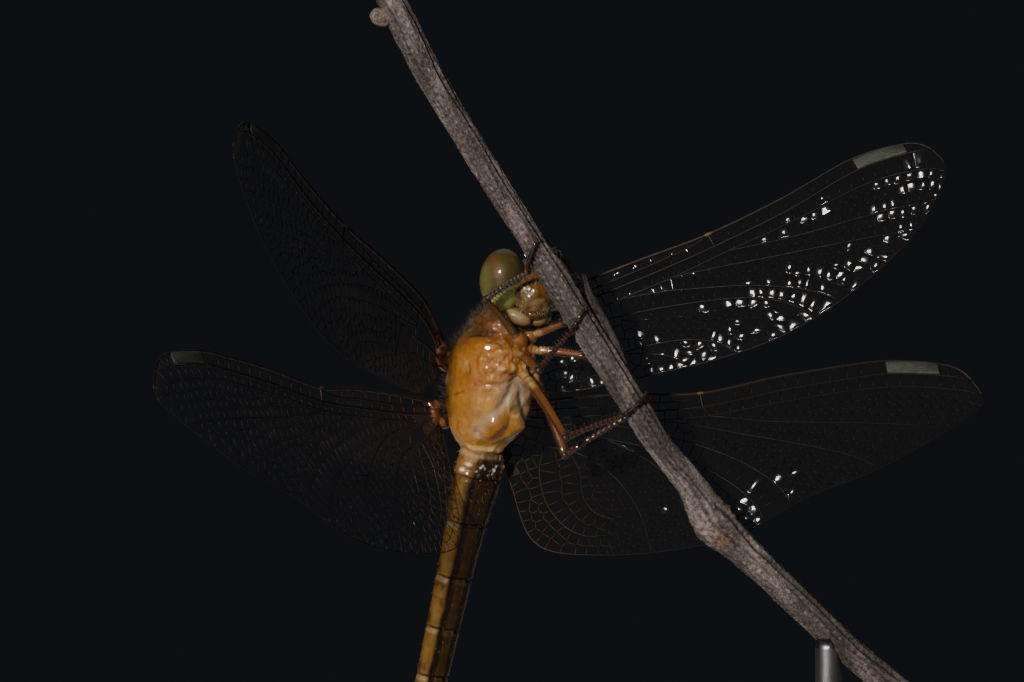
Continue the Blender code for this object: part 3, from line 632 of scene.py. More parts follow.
def make_abdomen():
    ends = np.concatenate([[0], np.cumsum(SEGMENTS)])
    length = ends[-1]
    s = np.linspace(-0.12, length, 520)
    count = 96
    t = angles(count)
    wide = np.interp(s, ends, TAIL_WIDE)
    tall = np.interp(s, ends, TAIL_TALL)
    shrink = np.ones_like(s)
    shade = np.zeros_like(s)
    pale = np.zeros_like(s)
    for k, joint in enumerate(ends[1:-1], 1):
        d = s - joint
        shrink -= 0.085 * np.exp(-((d - 0.10) / 0.10) ** 2)
        shrink += 0.022 * np.exp(-((d + 0.10) / 0.09) ** 2)
        shade = np.maximum(shade, np.exp(-((d + 0.03) / 0.055) ** 2))
        pale = np.maximum(pale, 0.8 * np.exp(-((d - 0.24) / 0.17) ** 4) * (k > 1))
    for line in (ends[1] + 1.5, ends[2] + 1.45, ends[3] + 1.4):
        shrink += 0.012 * np.exp(-((s - line) / 0.05) ** 2)
        shade = np.maximum(shade, 0.45 * np.exp(-((s - line) / 0.04) ** 2))
    shrink *= 1 - 0.30 * ramp(s, length - 0.25, length)
    up = np.cos(t)
    bent = np.abs(np.arctan2(np.sin(t), np.cos(t)))
    pinch = np.where(up > 0, 1 - 0.20 * np.sin(2 * bent), 1 + 0.10 * np.abs(np.sin(2 * t)))
    side = (wide * shrink)[:, None] * np.sin(t) * pinch
    rise = (tall * shrink)[:, None] * up * pinch - 0.08 * tall[:, None]
    # long ridges: the keel along the back, one on each flank, and the folded edges below
    degrees = np.degrees(bent)
    ridge = (0.035 * np.exp(-(degrees / 4) ** 2) + 0.03 * np.exp(-((degrees - 72) / 4) ** 2)
             - 0.05 * np.exp(-((degrees - 152) / 4) ** 2)
             - 0.03 * np.exp(-((degrees - 168) / 7) ** 2))
    side *= 1 + ridge
    rise *= 1 + ridge
    rings = tail_point(np.broadcast_to(s[:, None], side.shape), side, rise)
    flat = rings.reshape(-1, 3)
    out = outward(rings)
    rough = 0.012 * ripple(flat * (1, 2, 2), 3.2, 8) + 0.006 * ripple(flat, 9.0, 10)
    first = np.broadcast_to(np.exp(-((s - 0.70) / 0.50) ** 4)[:, None], side.shape).ravel()
    creases = 0.040 * np.sin(s * 11.0)[:, None] * np.sin(math.pi * np.clip(
        (degrees - 80) / 80, 0, 1)) ** 2
    rough += first * (creases.ravel() + 0.045 * ripple(flat, 4.0, 11) + 0.03 * ripple(flat, 9.0, 13))
    # raised pads on the first segment; their colour further down is a painted highlight
    pad = np.exp(-((s[:, None] - 0.62) / 0.22) ** 2 - ((degrees - 129) / 10) ** 2)
    pad = np.maximum(pad, 0.9 * np.exp(-((s[:, None] - 1.06) / 0.20) ** 2
                                       - ((degrees - 118) / 11) ** 2))
    pad = pad * np.clip(0.85 + 0.45 * ripple(flat, 4.5, 28).reshape(pad.shape), 0, 1.2)
    rough += 0.11 * np.broadcast_to(pad, side.shape).ravel()
    flat = flat + out.reshape(-1, 3) * rough[:, None]
    # colour: amber panels, pale rings after the joints, dark lines along flank, keel and belly, and
    # painted highlights, sheen and glints on the first segment
    deg = np.broadcast_to(degrees, side.shape)
    along = np.broadcast_to(s[:, None], side.shape)
    wave = 3.0 * np.sin(along * 2.1) + 2.0 * np.sin(along * 5.3)
    bare = ramp(-along, -5.2, -3.9)
    colour = np.broadcast_to(np.array((0.105, 0.052, 0.010)), (*side.shape, 3)).copy()
    colour = blend(colour, (0.095, 0.040, 0.011), 0.7 * ramp(-deg, -95, -60))
    colour = blend(colour, (0.155, 0.088, 0.018), 0.6 * np.exp(-((deg - 118) / 20) ** 2))
    colour = blend(colour, (0.045, 0.021, 0.007), 0.6 * np.exp(-((along - 2.7) / 1.3) ** 4)
                   * ramp(-deg, -118, -96))
    blots = ripple(rings.reshape(-1, 3) * (1, 2, 2), 3.0, 27).reshape(side.shape)
    colour = blend(colour, (0.040, 0.019, 0.006), 0.75 * ramp(blots, 0.4, 1.1))
    colour = blend(colour, (0.26, 0.19, 0.11), (pale[:, None] * (0.15 + 0.45 * (deg > 75))))
    colour = blend(colour, BLACK, 0.97 * np.exp(-((deg - 75 - wave * 0.4) / 14.0) ** 4))
    colour = blend(colour, (0.03, 0.014, 0.008),
                   0.8 * bare * np.exp(-((deg - 104 - wave * 0.6) / 2.6) ** 2))
    colour = blend(colour, BLACK, 0.9 * np.exp(-(deg / 3.5) ** 2))
    stripe = 13.0 + 6.0 * bare
    colour = blend(colour, (0.004, 0.0025, 0.002),
                   0.99 * np.exp(-((deg - 155 - wave * 0.6) / stripe) ** 4))
    colour = blend(colour, (0.036, 0.018, 0.006), 0.92 * np.exp(-((deg - 180) / 17) ** 4))
    colour = blend(colour, (0.025, 0.011, 0.006), 0.85 * bare * ramp(deg, 150, 160))
    spot = np.exp(-((deg - 96) / 14) ** 2)
    for joint in ends[3:10]:
        colour = blend(colour, BLACK, 0.8 * spot * np.exp(-((along - joint + 0.45) / 0.40) ** 2))
    colour = blend(colour, (0.018, 0.009, 0.006), 0.95 * np.broadcast_to(shade[:, None], deg.shape))
    colour = blend(colour, BLACK, 0.75 * ramp(along, ends[8], ends[9]))
    waist = np.exp(-((along - 0.06 - 0.05 * np.sin(np.radians(deg) * 6)) / 0.24) ** 2)
    colour = blend(colour, (0.46, 0.30, 0.16), 0.75 * waist * (1 - 0.6 * ramp(deg, 145, 165)))
    # painted sheen: a lighter amber patch on the first segment, where the key light's highlight sits
    painted_sheen = np.exp(-((along - 0.75) / 0.6) ** 2) * np.exp(-((deg - 122) / 30) ** 2)
    colour = blend(colour, (0.25, 0.13, 0.045), 0.8 * painted_sheen)
    # painted highlight: the pads on the first segment are painted near white
    colour = blend(colour, (0.82, 0.70, 0.60), 0.95 * np.exp(-(1 - np.minimum(pad, 1)) ** 2 * 9))
    ragged = deg + 9.0 * ripple(flat, 3.4, 31).reshape(side.shape)
    colour = blend(colour, (0.016, 0.008, 0.005), 0.93 * ramp(ragged, 140, 150)
                   * ramp(along, 0.05, 0.30) * ramp(-along, -1.7, -1.3))
    # painted glints: small near-white dots on the dark lower side of the first segment
    painted_glints = ramp(ripple(flat, 9.0, 29).reshape(side.shape), 0.75, 1.1)
    colour = blend(colour, (0.75, 0.66, 0.58), 0.8 * painted_glints * ramp(deg, 140, 150)
                   * ramp(along, 0.25, 0.6) * ramp(-along, -1.9, -1.4))
    points, faces = loft(from_body(flat).reshape(*side.shape, 3))
    tint = np.clip(colour.reshape(-1, 3), 0.002, 1)
    shape = Shape()
    shape.add(points, faces, capped(tint))
    shape.build("abdomen_skin", [ABDOMEN],
                [f"abdomen_{k}" for k in range(1, 11)])
    coat("abdomen_hair", rings, out, 1300, (0.14, 0.32), 0.007, (-0.9, 0, 0.1),
         lambda p: 0.4 + 0.6 * (p[:, 0] > -9), ((0.05, 0.03, 0.02), (0.3, 0.2, 0.1)),
         61, from_body)
    tip = np.array((TAIL_START - length, 0, length * math.tan(math.radians(TAIL_RISE)) - 0.10))
    for label, sign in (("left", 1), ("right", -1)):
        path = smooth([(0.15, 0, 0), (-0.35, 0.05 * sign, 0.05), (-0.9, 0.1 * sign, 0.1),
                       (-1.45, 0.06 * sign, 0.10), (-1.75, 0.02 * sign, 0.06)],
                      np.linspace(0, 1, 22)) + tip + (-0.1, 0.33 * sign, 0.05)
        thick = np.interp(np.linspace(0, 1, 22), (0, 0.15, 0.6, 0.9, 1),
                          (0.13, 0.20, 0.24, 0.14, 0.04))
        shape = Shape()
        shape.add(*tube(from_body(path), thick, 16), (0.035, 0.018, 0.010))
        roots = from_body(path[4:20].repeat(5, 0))
        ways = BODY @ np.array((-0.8, 0, 0)) + rng.normal(size=(len(roots), 3)) * 0.6
        made, faces, _ = tufts(roots, ways, 0.34, 0.010, 0.2, 5)
        shape.add(made, faces, (0.03, 0.02, 0.012))
        shape.build("cercus_" + label + "_skin", [LIMB], ("cercus_" + label,))


# ---- head ---------------------------------------------------------------------------
EYE_AT = np.array((-0.05, 1.55, 0.10))
EYE_RADII = np.array((1.50, 1.42, 1.92))
FACE_PARTS = (      # centre and radii in head axes: core, brow, nose, crown, nape
    ((0.0, 0.0, 0.0), (1.17, 2.00, 1.42)), ((1.15, 0.0, -0.52), (1.07, 1.27, 1.13)),
    ((1.46, 0.0, -0.98), (0.70, 0.96, 0.70)), ((1.02, 0.0, 0.72), (0.42, 0.50, 0.50)),
    ((-0.75, 0.0, -0.2), (0.55, 1.2, 1.1)))
NOSE = np.array((2.14, 0.0, -1.02))     # middle of the round plate below the brow
FACE_WET = (((1.89, -0.28, 0.26), 0.11), ((2.05, -0.51, -0.14), 0.10), ((1.52, -1.14, -0.19), 0.11),
            ((1.67, -0.92, -1.09), 0.11), ((1.92, -0.87, -0.60), 0.08))


def egg_distance(p, centre, radii):
    q = p - np.array(centre)
    near = np.linalg.norm(q / radii, axis=-1)
    return near * (near - 1) / np.maximum(np.linalg.norm(q / np.square(radii), axis=-1), 1e-6)


def merged(p, parts, soft):
    total = None
    for centre, radii in parts:
        d = egg_distance(p, centre, np.array(radii))
        if total is None:
            total = d
        else:
            h = np.clip(0.5 + 0.5 * (total - d) / soft, 0, 1)
            total = total + (d - total) * h - soft * h * (1 - h)
    return total


def sphere(rows, count):
    """Directions all round, in rows from pole to pole with the poles up and down."""
    tilt, t = latitudes(rows), angles(count)
    return np.stack([np.cos(tilt)[:, None] * np.cos(t)[None], np.cos(tilt)[:, None] * np.sin(t)[None],
                     np.broadcast_to(np.sin(tilt)[:, None], (rows, count))], 2)


def radial(parts, soft, heart, rows, count, reach=4.5):
    """Rings of a merged lump, read outward from a point inside it."""
    way = sphere(rows, count)
    low, high = np.zeros((rows, count)), np.full((rows, count), reach)
    for _ in range(26):
        middle = (low + high) / 2
        inside = merged(np.array(heart) + way * middle[..., None], parts, soft) < 0
        low, high = np.where(inside, middle, low), np.where(inside, high, middle)
    return np.array(heart) + way * low[..., None]


def make_head():
    shape = Shape()
    rings = radial(FACE_PARTS, 0.38, (0.35, 0.0, -0.3), 120, 170)
    out = outward(rings)
    p = rings.reshape(-1, 3)
    x, y, z = p.T
    front = ramp(x, 0.6, 1.3)
    colour = np.broadcast_to(np.array((0.15, 0.068, 0.018)), p.shape).copy()
    colour = blend(colour, (0.112, 0.058, 0.014), 0.8 * front * ramp(-z, -0.6, 0.2))
    colour = blend(colour, (0.115, 0.052, 0.013), 0.8 * front * ramp(z, 0.25, 0.55)
                   * ramp(-np.abs(y), -0.7, -0.4))
    colour = blend(colour, (0.112, 0.088, 0.028), 0.8 * ramp(x, 0.7, 1.2)
                   * ramp(np.abs(y), 0.60, 0.95) * ramp(-z, -0.1, 0.6))
    colour = blend(colour, (0.035, 0.015, 0.008), 0.85 * ramp(np.abs(y), 0.45, 0.75)
                   * ramp(z, 0.1, 0.5) * ramp(x, 0.3, 0.8))
    colour = blend(colour, (0.040, 0.018, 0.009), 0.85 * ramp(z, 0.62, 0.95))
    colour = blend(colour, (0.16, 0.09, 0.03), 0.6 * ramp(-x, 0.2, 0.9))
    height = 0.035 * ripple(p, 2.6, 21) + 0.012 * ripple(p, 7.0, 22) * (1 + front)
    height += 0.007 * front * ripple(p, 16.0, 23)
    colour = blend(colour, (0.075, 0.034, 0.012), 0.5 * front * ramp(ripple(p, 3.2, 26), 0.2, 1.1))
    # rings of the round plate: dark heart, amber, a groove round it and a pale rim
    d = np.linalg.norm((p - NOSE) * (0.5, 1.0, 1.15), axis=1)
    colour = blend(colour, (0.040, 0.022, 0.010), 0.80 * np.exp(-(d / 0.27) ** 2))
    colour = blend(colour, (0.180, 0.112, 0.036), 0.60 * np.exp(-((d - 0.42) / 0.14) ** 2))
    colour = blend(colour, (0.060, 0.028, 0.010), 0.50 * np.exp(-((d - 0.68) / 0.12) ** 2))
    height += 0.015 * np.exp(-((d - 0.42) / 0.18) ** 2) - 0.008 * np.exp(-((d - 0.68) / 0.10) ** 2)
    for shift, rise, size in ((-0.55, 0.05, 0.16), (-0.80, -0.30, 0.13), (-0.35, 0.35, 0.18),
                              (-0.88, -0.75, 0.12), (-0.62, -0.50, 0.12), (-0.20, -0.10, 0.14)):
        for sign in (1, -1):
            d = np.hypot(y - shift * sign, z - rise) / size
            height += 0.028 * np.exp(-d ** 2) * front
    # arched fold across the brow, and the furrow down its middle
    fold = np.exp(-((z - 0.42 + 0.30 * y * y) / 0.06) ** 2) * front * (np.abs(y) < 0.9)
    height -= 0.025 * fold
    colour = blend(colour, (0.09, 0.035, 0.01), 0.3 * fold)
    furrow = np.exp(-(y / 0.08) ** 2) * ramp(x, 1.4, 1.9) * ramp(z, -0.35, 0.0)
    height -= 0.03 * furrow
    colour = blend(colour, (0.15, 0.06, 0.015), 0.3 * furrow)
    edge = np.exp(-((np.abs(y) - 1.12) / 0.09) ** 2) * ramp(x, 0.4, 0.9) * ramp(z, -1.2, -0.6)
    colour = blend(colour, (0.03, 0.014, 0.009), 0.8 * edge)
    colour = np.clip(colour, 0.003, 1)
    height = wet(p, out.reshape(-1, 3), height, FACE_WET, HEAD_AT, HEAD)
    face = lay(shape, rings, out, height, colour, from_head)

    # upper lip: a short dark shield below the nose, with a raised lower rim painted pale as a highlight
    rings_lip = radial((((1.18, 0, -1.66), (0.74, 0.66, 0.36)),), 0.1, (1.15, 0, -1.66), 44, 72, 1.5)
    p = rings_lip.reshape(-1, 3)
    colour = np.broadcast_to(np.array((0.055, 0.022, 0.008)), p.shape).copy()
    d = np.hypot(p[:, 1] * 1.25, (p[:, 2] + 1.58) * 2.0)
    colour = blend(colour, (0.110, 0.050, 0.015), 0.6 * np.exp(-((d - 0.30) / 0.16) ** 2))
    # painted highlight along the lip's lower rim
    colour = blend(colour, (0.30, 0.21, 0.12), 0.8 * np.exp(-((p[:, 2] + 1.93) / 0.04) ** 2))
    colour = blend(colour, (0.02, 0.010, 0.006), 0.9 * ramp(p[:, 2], -1.52, -1.40))
    lift = 0.04 * np.exp(-((p[:, 2] + 1.92) / 0.06) ** 2) - 0.03 * np.exp(-((d - 0.3) / 0.1) ** 2)
    lay(shape, rings_lip, outward(rings_lip), lift, colour, from_head)

    # jaws seen in the slit, and the two broad lobes of the lower lip
    points, faces = ball((0.72, 0, -1.92), (0.55, 0.62, 0.24), 20, 30)
    shape.add(from_head(points), faces, (0.06, 0.018, 0.010))
    for sign in (1, -1):
        rings_lobe = radial((((0.66, 0.42 * sign, -2.13), (0.88, 0.52, 0.40)),
                             ((0.54, 0.74 * sign, -2.01), (0.86, 0.56, 0.44)),
                             ((0.36, 1.06 * sign, -1.84), (0.76, 0.52, 0.46))), 0.40,
                            (0.42, 0.66 * sign, -2.02), 44, 70, 1.8)
        p = rings_lobe.reshape(-1, 3)
        inner = np.abs(p[:, 1])
        colour = np.broadcast_to(np.array((0.165, 0.112, 0.040)), p.shape).copy()
        top = p[:, 2] + 1.62 + 0.30 * (1.2 - inner)
        colour = blend(colour, (0.27, 0.21, 0.10), 0.85 * np.exp(-(top / 0.15) ** 2))
        colour = blend(colour, (0.10, 0.050, 0.015), 0.7 * ramp(-p[:, 2], 2.22, 2.45))
        colour = blend(colour, (0.05, 0.022, 0.010), 0.8 * ramp(-inner, -0.14, -0.04))
        lift = 0.020 * ripple(p, 4.0, 25) - 0.015 * np.exp(-((top - 0.22) / 0.05) ** 2)
        lay(shape, rings_lobe, outward(rings_lobe), lift, colour, from_head)
    points, faces = ball((0.72, 0, -2.38), (0.34, 0.26, 0.14), 14, 20)
    shape.add(from_head(points), faces, (0.05, 0.022, 0.012))
    # three simple eyes round the crown
    for centre in ((1.42, 0.0, 0.60), (1.05, 0.40, 0.66), (1.05, -0.40, 0.66)):
        points, faces = ball(centre, (0.10, 0.10, 0.10), 10, 14)
        shape.add(from_head(points), faces, (0.16, 0.10, 0.05))
    shape.build("head_skin", [FACE], ("head", "labrum", "labium"))

    for label, sign in (("left", 1), ("right", -1)):
        shape = Shape()
        way = sphere(84, 110) * (1, sign, 1)
        p = way * EYE_RADII * 0.995 + EYE_AT * (1, sign, 1)
        p[..., 1] = np.maximum(p[..., 1] * sign, 0.015) * sign
        colour = eye_colour(p * (1, sign, 1))
        points, faces = loft(from_head(p.reshape(-1, 3)).reshape(p.shape))
        shape.add(points, faces, capped(colour.reshape(-1, 3)))
        shape.build(f"eye_{label}_facets", [EYE], (f"eye_{label}",))

        shape = Shape()
        base = np.array((1.35, 0.50 * sign, 0.80))
        path = smooth([(0, 0, 0), (-0.05, 0.06 * sign, 0.35), (-0.20, 0.18 * sign, 0.85),
                       (-0.75, 0.40 * sign, 1.85), (-1.0, 0.5 * sign, 2.3)],
                      np.linspace(0, 1, 30)) + base
        thick = np.interp(np.linspace(0, 1, 30), (0, 0.10, 0.13, 0.26, 0.30, 0.7, 1),
                          (0.12, 0.13, 0.09, 0.10, 0.045, 0.03, 0.012))
        shape.add(*tube(from_head(path), thick, 10), (0.022, 0.014, 0.010))
        shape.build(f"antenna_{label}_bristle", [LIMB], (f"antenna_{label}",))
    return face.reshape(rings.shape), out


def eye_colour(p):
    """Olive brown above with a rusty rim, yellow green below, and painted shade beside the brow."""
    x, y, z = p[..., 0], p[..., 1], p[..., 2]
    colour = np.broadcast_to(np.array((0.042, 0.035, 0.010)), p.shape).copy()
    rim = np.exp(-((y - 2.45) / 0.28) ** 2) * ramp(z, 0.0, 0.8)
    colour = blend(colour, (0.12, 0.052, 0.018), 0.65 * rim)
    colour = blend(colour, (0.105, 0.096, 0.030), 0.8 * ramp(y, 2.55, 2.9))
    colour = blend(colour, (0.055, 0.034, 0.011), 0.5 * ramp(z, 0.9, 1.8))
    lime = ramp(-(z + 0.62 * (y - 0.8)), -0.60, -0.05)
    colour = blend(colour, (0.25, 0.27, 0.078), 0.97 * lime)
    colour = blend(colour, (0.27, 0.28, 0.085), 0.6 * lime * ramp(-z, 0.7, 1.5))
    # painted shade: the eye is darkened low and in front, beside the brow
    shade = np.exp(-((y - 0.62) / 0.42) ** 2) * ramp(-z, -0.6, 0.6) * ramp(x, 0.0, 0.6)
    colour = blend(colour, (0.022, 0.022, 0.007), 0.9 * shade)
    inner = np.exp(-((y - 0.85) / 0.42) ** 2) * ramp(z, 0.0, 0.8) * ramp(x, 0.0, 0.6)
    colour = blend(colour, (0.034, 0.024, 0.008), 0.75 * inner)
    colour = blend(colour, (0.03, 0.02, 0.008), 0.6 * ramp(-x, 0.6, 1.2))
    return np.clip(colour, 0.003, 1)


# ---- legs ------------------------------------------------------------------------------
PERCH = (
    (-6.3, -7.2, 24.2, .80), (-5.7, -7.0, 23.0, .86), (-4.8, -6.8, 21.2, .87),
    (-3.3, -6.3, 18.3, .84), (-1.8, -6.0, 15.8, .78), (0.3, -5.5, 12.4, .80),
    (2.1, -5.0, 9.6, .75), (2.9, -4.8, 8.3, .75), (4.1, -4.6, 6.5, .90), (5.9, -4.1, 3.5, .86),
    (8.1, -3.6, 0.1, .88), (10.2, -3.3, -3.3, .80), (12.1, -3.3, -5.7, .86),
    (13.5, -3.3, -8.0, 1.30), (15.4, -3.3, -9.8, .98), (17.1, -3.3, -11.4, .92),
    (21.5, -3.3, -15.6, .86), (25.6, -3.3, -19.0, .88))
LEGS = {
    "front_right": ((1.7, -2.1, 3.1), (-0.2, -4.4, 5.3)),
    "middle_right": ((1.7, -2.3, 2.1), (3.0, -6.4, 1.1)),
    "hind_right": ((2.0, -2.3, 1.0), (4.6, -5.8, -2.9)),
    "front_left": ((2.7, -1.3, 3.2), (4.6, -2.45, 3.95)),
    "middle_left": ((2.6, -1.4, 2.3), (6.1, -2.2, 1.9)),
    "hind_left": ((2.7, -1.4, 0.8), (4.6, -3.0, -4.0))}
TOES = {    # both ends of the foot: height on the perch, bearing round it, reach from it
    "front_right": ((7.6, 185.0, 1.10), (8.7, 280.0, 1.02)),
    "middle_right": ((3.9, 215.0, 1.12), (4.6, 300.0, 1.06)),
    "hind_right": ((-1.1, 215.0, 1.12), (-0.8, 330.0, 1.04)),
    "front_left": ((7.3, 50.0, 1.12), (7.9, -30.0, 1.05)),
    "middle_left": ((3.6, 50.0, 2.0), (5.9, 42.0, 1.5)),
    "hind_left": ((-1.4, 120.0, 1.12), (-1.1, 35.0, 1.05))}


def perch_centre(height):
    rows = np.array(PERCH)[::-1]
    return np.array([np.interp(height, rows[:, 2], rows[:, k]) for k in range(3)])


def toe_point(height, bearing, reach):
    along = unit(perch_centre(height + 0.8) - perch_centre(height - 0.8))
    right = unit(np.array((1.0, 0, 0)) - along * along[0])
    away = np.cross(along, right)
    turn = math.radians(bearing)
    return perch_centre(height) + (right * math.cos(turn) + away * math.sin(turn)) * reach


def spines(shape, path, radius, inner, count, length, lean, width, seed, spread=38.0):
    """Two rows of stiff bristles along a limb, to both sides of its inner direction."""
    draw = np.random.default_rng(seed)
    line = even(path, 60)
    at = np.linspace(6, 56, count).astype(int)
    ahead = unit(line[at + 1] - line[at])
    facing = unit(inner - ahead * (ahead @ inner)[:, None])
    aside = np.cross(ahead, facing)
    for row, turn in enumerate((math.radians(spread), -math.radians(spread))):
        out = facing * math.cos(turn) + aside * math.sin(turn)
        ways = out + ahead * lean + draw.normal(size=out.shape) * 0.07
        made, faces, _ = tufts(line[at] + out * radius * 0.7, ways,
                               length * draw.uniform(0.8, 1.15, count), width, 0.05, seed + row)
        shape.add(made, faces, (0.018, 0.011, 0.008))


def make_legs():
    for seed, (name, (root, knee)) in enumerate(LEGS.items()):
        root, knee = np.array(root), np.array(knee)
        heel, toe = np.array(TOES[name][0]), np.array(TOES[name][1])
        foot = np.array([toe_point(*(heel + (toe - heel) * part))
                         for part in np.linspace(0, 1, 14)])
        along = unit(knee - root)
        hind = name.startswith("hind")
        dark_way = unit(np.cross(along, (0.0, -1.0, 0.0)))
        dark_way = dark_way * (-1.0 if dark_way[0] > 0 else 1.0)
        # hip and thigh
        shape = Shape()
        hip = root - along * 0.35
        points, faces = ball((0, 0, 0), (0.62, 0.50, 0.50), 16, 22)
        side, other = frames(np.array([hip, root]))
        axes = np.stack([along, side[0], other[0]], 1)
        shape.add(points @ axes.T + hip + BODY_AT, faces, (0.19, 0.075, 0.020))
        steps = np.linspace(0, 1, 40)
        sagged = smooth([root, root + (knee - root) * 0.5 + np.array((0.05, 0.0, 0.06)), knee],
                        steps)
        size = 1.0 if hind else 0.85
        thick = size * np.interp(steps, (0, 0.04, 0.075, 0.10, 0.13, 0.18, 0.5, 0.85, 0.94, 1.0),
                                 (0.36, 0.37, 0.30, 0.24, 0.31, 0.32, 0.30, 0.24, 0.27, 0.21))
        rings = tube_rings(sagged + BODY_AT, thick, 18)
        out = outward(rings)
        level = np.broadcast_to(steps[:, None], rings.shape[:2])
        tint = np.broadcast_to(np.array((0.125, 0.046, 0.012)), rings.shape).copy()
        banded = np.where(level < 0.3, 0.5 + 0.5 * np.cos(level * 2 * math.pi / 0.065), 0)
        tint = blend(tint, (0.42, 0.28, 0.10), 0.8 * ramp(-level, -0.34, -0.24))
        tint = blend(tint, (0.07, 0.025, 0.01), 0.75 * banded * ramp(-level, -0.30, -0.22))
        edge = out @ dark_way
        tint = blend(tint, (0.040, 0.014, 0.006), 0.92 * ramp(edge, 0.05, 0.6)
                     * ramp(level, 0.1, 0.3))
        tint = blend(tint, (0.20, 0.092, 0.026),
                     0.5 * ramp(-edge, 0.3, 0.9) * ramp(level, 0.3, 0.6))
        tint = blend(tint, (0.05, 0.020, 0.010), 0.75 * ramp(level, 0.90, 0.96))
        # painted shade: the front right thigh is darkened as if lying in shade
        if name == "front_right":
            tint = blend(tint, (0.066, 0.038, 0.015), 0.85)
        points, faces = loft(rings)
        shape.add(points, faces, capped(tint.reshape(-1, 3)))
        spines(shape, sagged + BODY_AT, 0.28 * size, foot[0] - knee, 13, 0.40, 0.5, 0.034,
               40 + seed)
        points, faces = ball(knee + BODY_AT, (0.25, 0.25, 0.27), 14, 18)
        shape.add(points, faces, (0.024, 0.010, 0.006))
        hairs = even(sagged + BODY_AT, 90)[6:]
        ways = along * 0.6 + rng.normal(size=(len(hairs), 3))
        made, faces, _ = tufts(hairs, ways, 0.48, 0.008, 0.2, 50 + seed)
        shape.add(made, faces, (0.16, 0.09, 0.04))
        shape.build(f"leg_{name}_thigh", [LIMB], (f"leg_{name}_femur",))
        # shin
        shape = Shape()
        start = knee + unit(foot[0] - knee) * 0.06
        steps = np.linspace(0, 1, 110)
        shin = smooth([start, (start + foot[0]) / 2 + np.array((0, 0, 0.05)), foot[0]], steps)
        thick = np.interp(steps, (0, 0.05, 0.15, 0.6, 0.95, 1),
                          (0.19, 0.21, 0.17, 0.15, 0.14, 0.12))
        thick *= 1 + 0.13 * np.sin(steps * 2 * math.pi * 12) * ramp(steps, 0.1, 0.2)
        shade = (0.018, 0.010, 0.006) if name == "front_right" else (0.036, 0.012, 0.006)
        rings = tube_rings(shin + BODY_AT, thick, 12)
        # painted highlight: pale dots on the knob crests along both edges of the shin seen from the
        # camera, strongest on the front right shin
        edge = unit(np.cross(shin[-1] - shin[0], (0.0, 1.0, 0.0)))
        painted_knob_glint = ramp(np.sin(steps * 2 * math.pi * 12), 0.3, 0.9)[:, None]
        painted_knob_glint = painted_knob_glint * ramp(np.abs(outward(rings) @ edge), 0.45, 0.75)
        tint = blend(np.broadcast_to(np.array(shade), rings.shape).copy(),
                     (0.24, 0.19, 0.14), painted_knob_glint * (0.8 if name == "front_right" else 0.25))
        points, faces = loft(rings)
        shape.add(points, faces, capped(tint.reshape(-1, 3)))
        spines(shape, shin + BODY_AT, 0.16, root - knee, 12, 0.48, 0.45, 0.038, 70 + seed)
        shape.build(f"leg_{name}_shin", [LIMB], (f"leg_{name}_tibia",))
        # foot of three joints with two hooked claws
        shape = Shape()
        line = even(foot, 40)
        thick = 0.145 * (1 - 0.30 * np.linspace(0, 1, 40))
        for joint in (0.22, 0.5):
            thick *= 1 - 0.35 * np.exp(-((np.linspace(0, 1, 40) - joint) / 0.025) ** 2)
        shape.add(*tube(line + BODY_AT, thick, 10), BLACK)
        ahead, across = unit(line[-1] - line[-3]), frames(line)[0][-1]
        inward = unit(perch_centre(toe[0]) - line[-1])
        for sign in (1, -1):
            claw = smooth([line[-1], line[-1] + ahead * 0.22 + across * 0.08 * sign,
                           line[-1] + ahead * 0.36 + across * 0.13 * sign + inward * 0.10,
                           line[-1] + ahead * 0.40 + across * 0.15 * sign + inward * 0.24],
                          np.linspace(0, 1, 12))
            shape.add(*tube(claw + BODY_AT, np.linspace(0.045, 0.012, 12), 8), (0.05, 0.02, 0.01))
        spines(shape, line + BODY_AT, 0.11, line[0] - perch_centre(toe[0]), 9, 0.20, 0.7, 0.016,
               90 + seed)
        shape.build(f"leg_{name}_foot", [LIMB], (f"leg_{name}_tarsus",))


# ---- wings ------------------------------------------------------------------------------
WINGS = {   # root in thorax axes, forward sweep, droop, nose-up turn (degrees)
    "forewing_left": ((1.3, 1.95, 2.75), 42.5, 22.0, 33.0),
    "forewing_right": ((1.3, -1.95, 2.75), 34.0, 21.5, 24.0),
    "hindwing_left": ((-1.7, 2.1, 2.3), 21.0, 28.0, 32.0),
    "hindwing_right": ((-1.7, -2.1, 2.3), 12.0, 21.5, 36.0)}
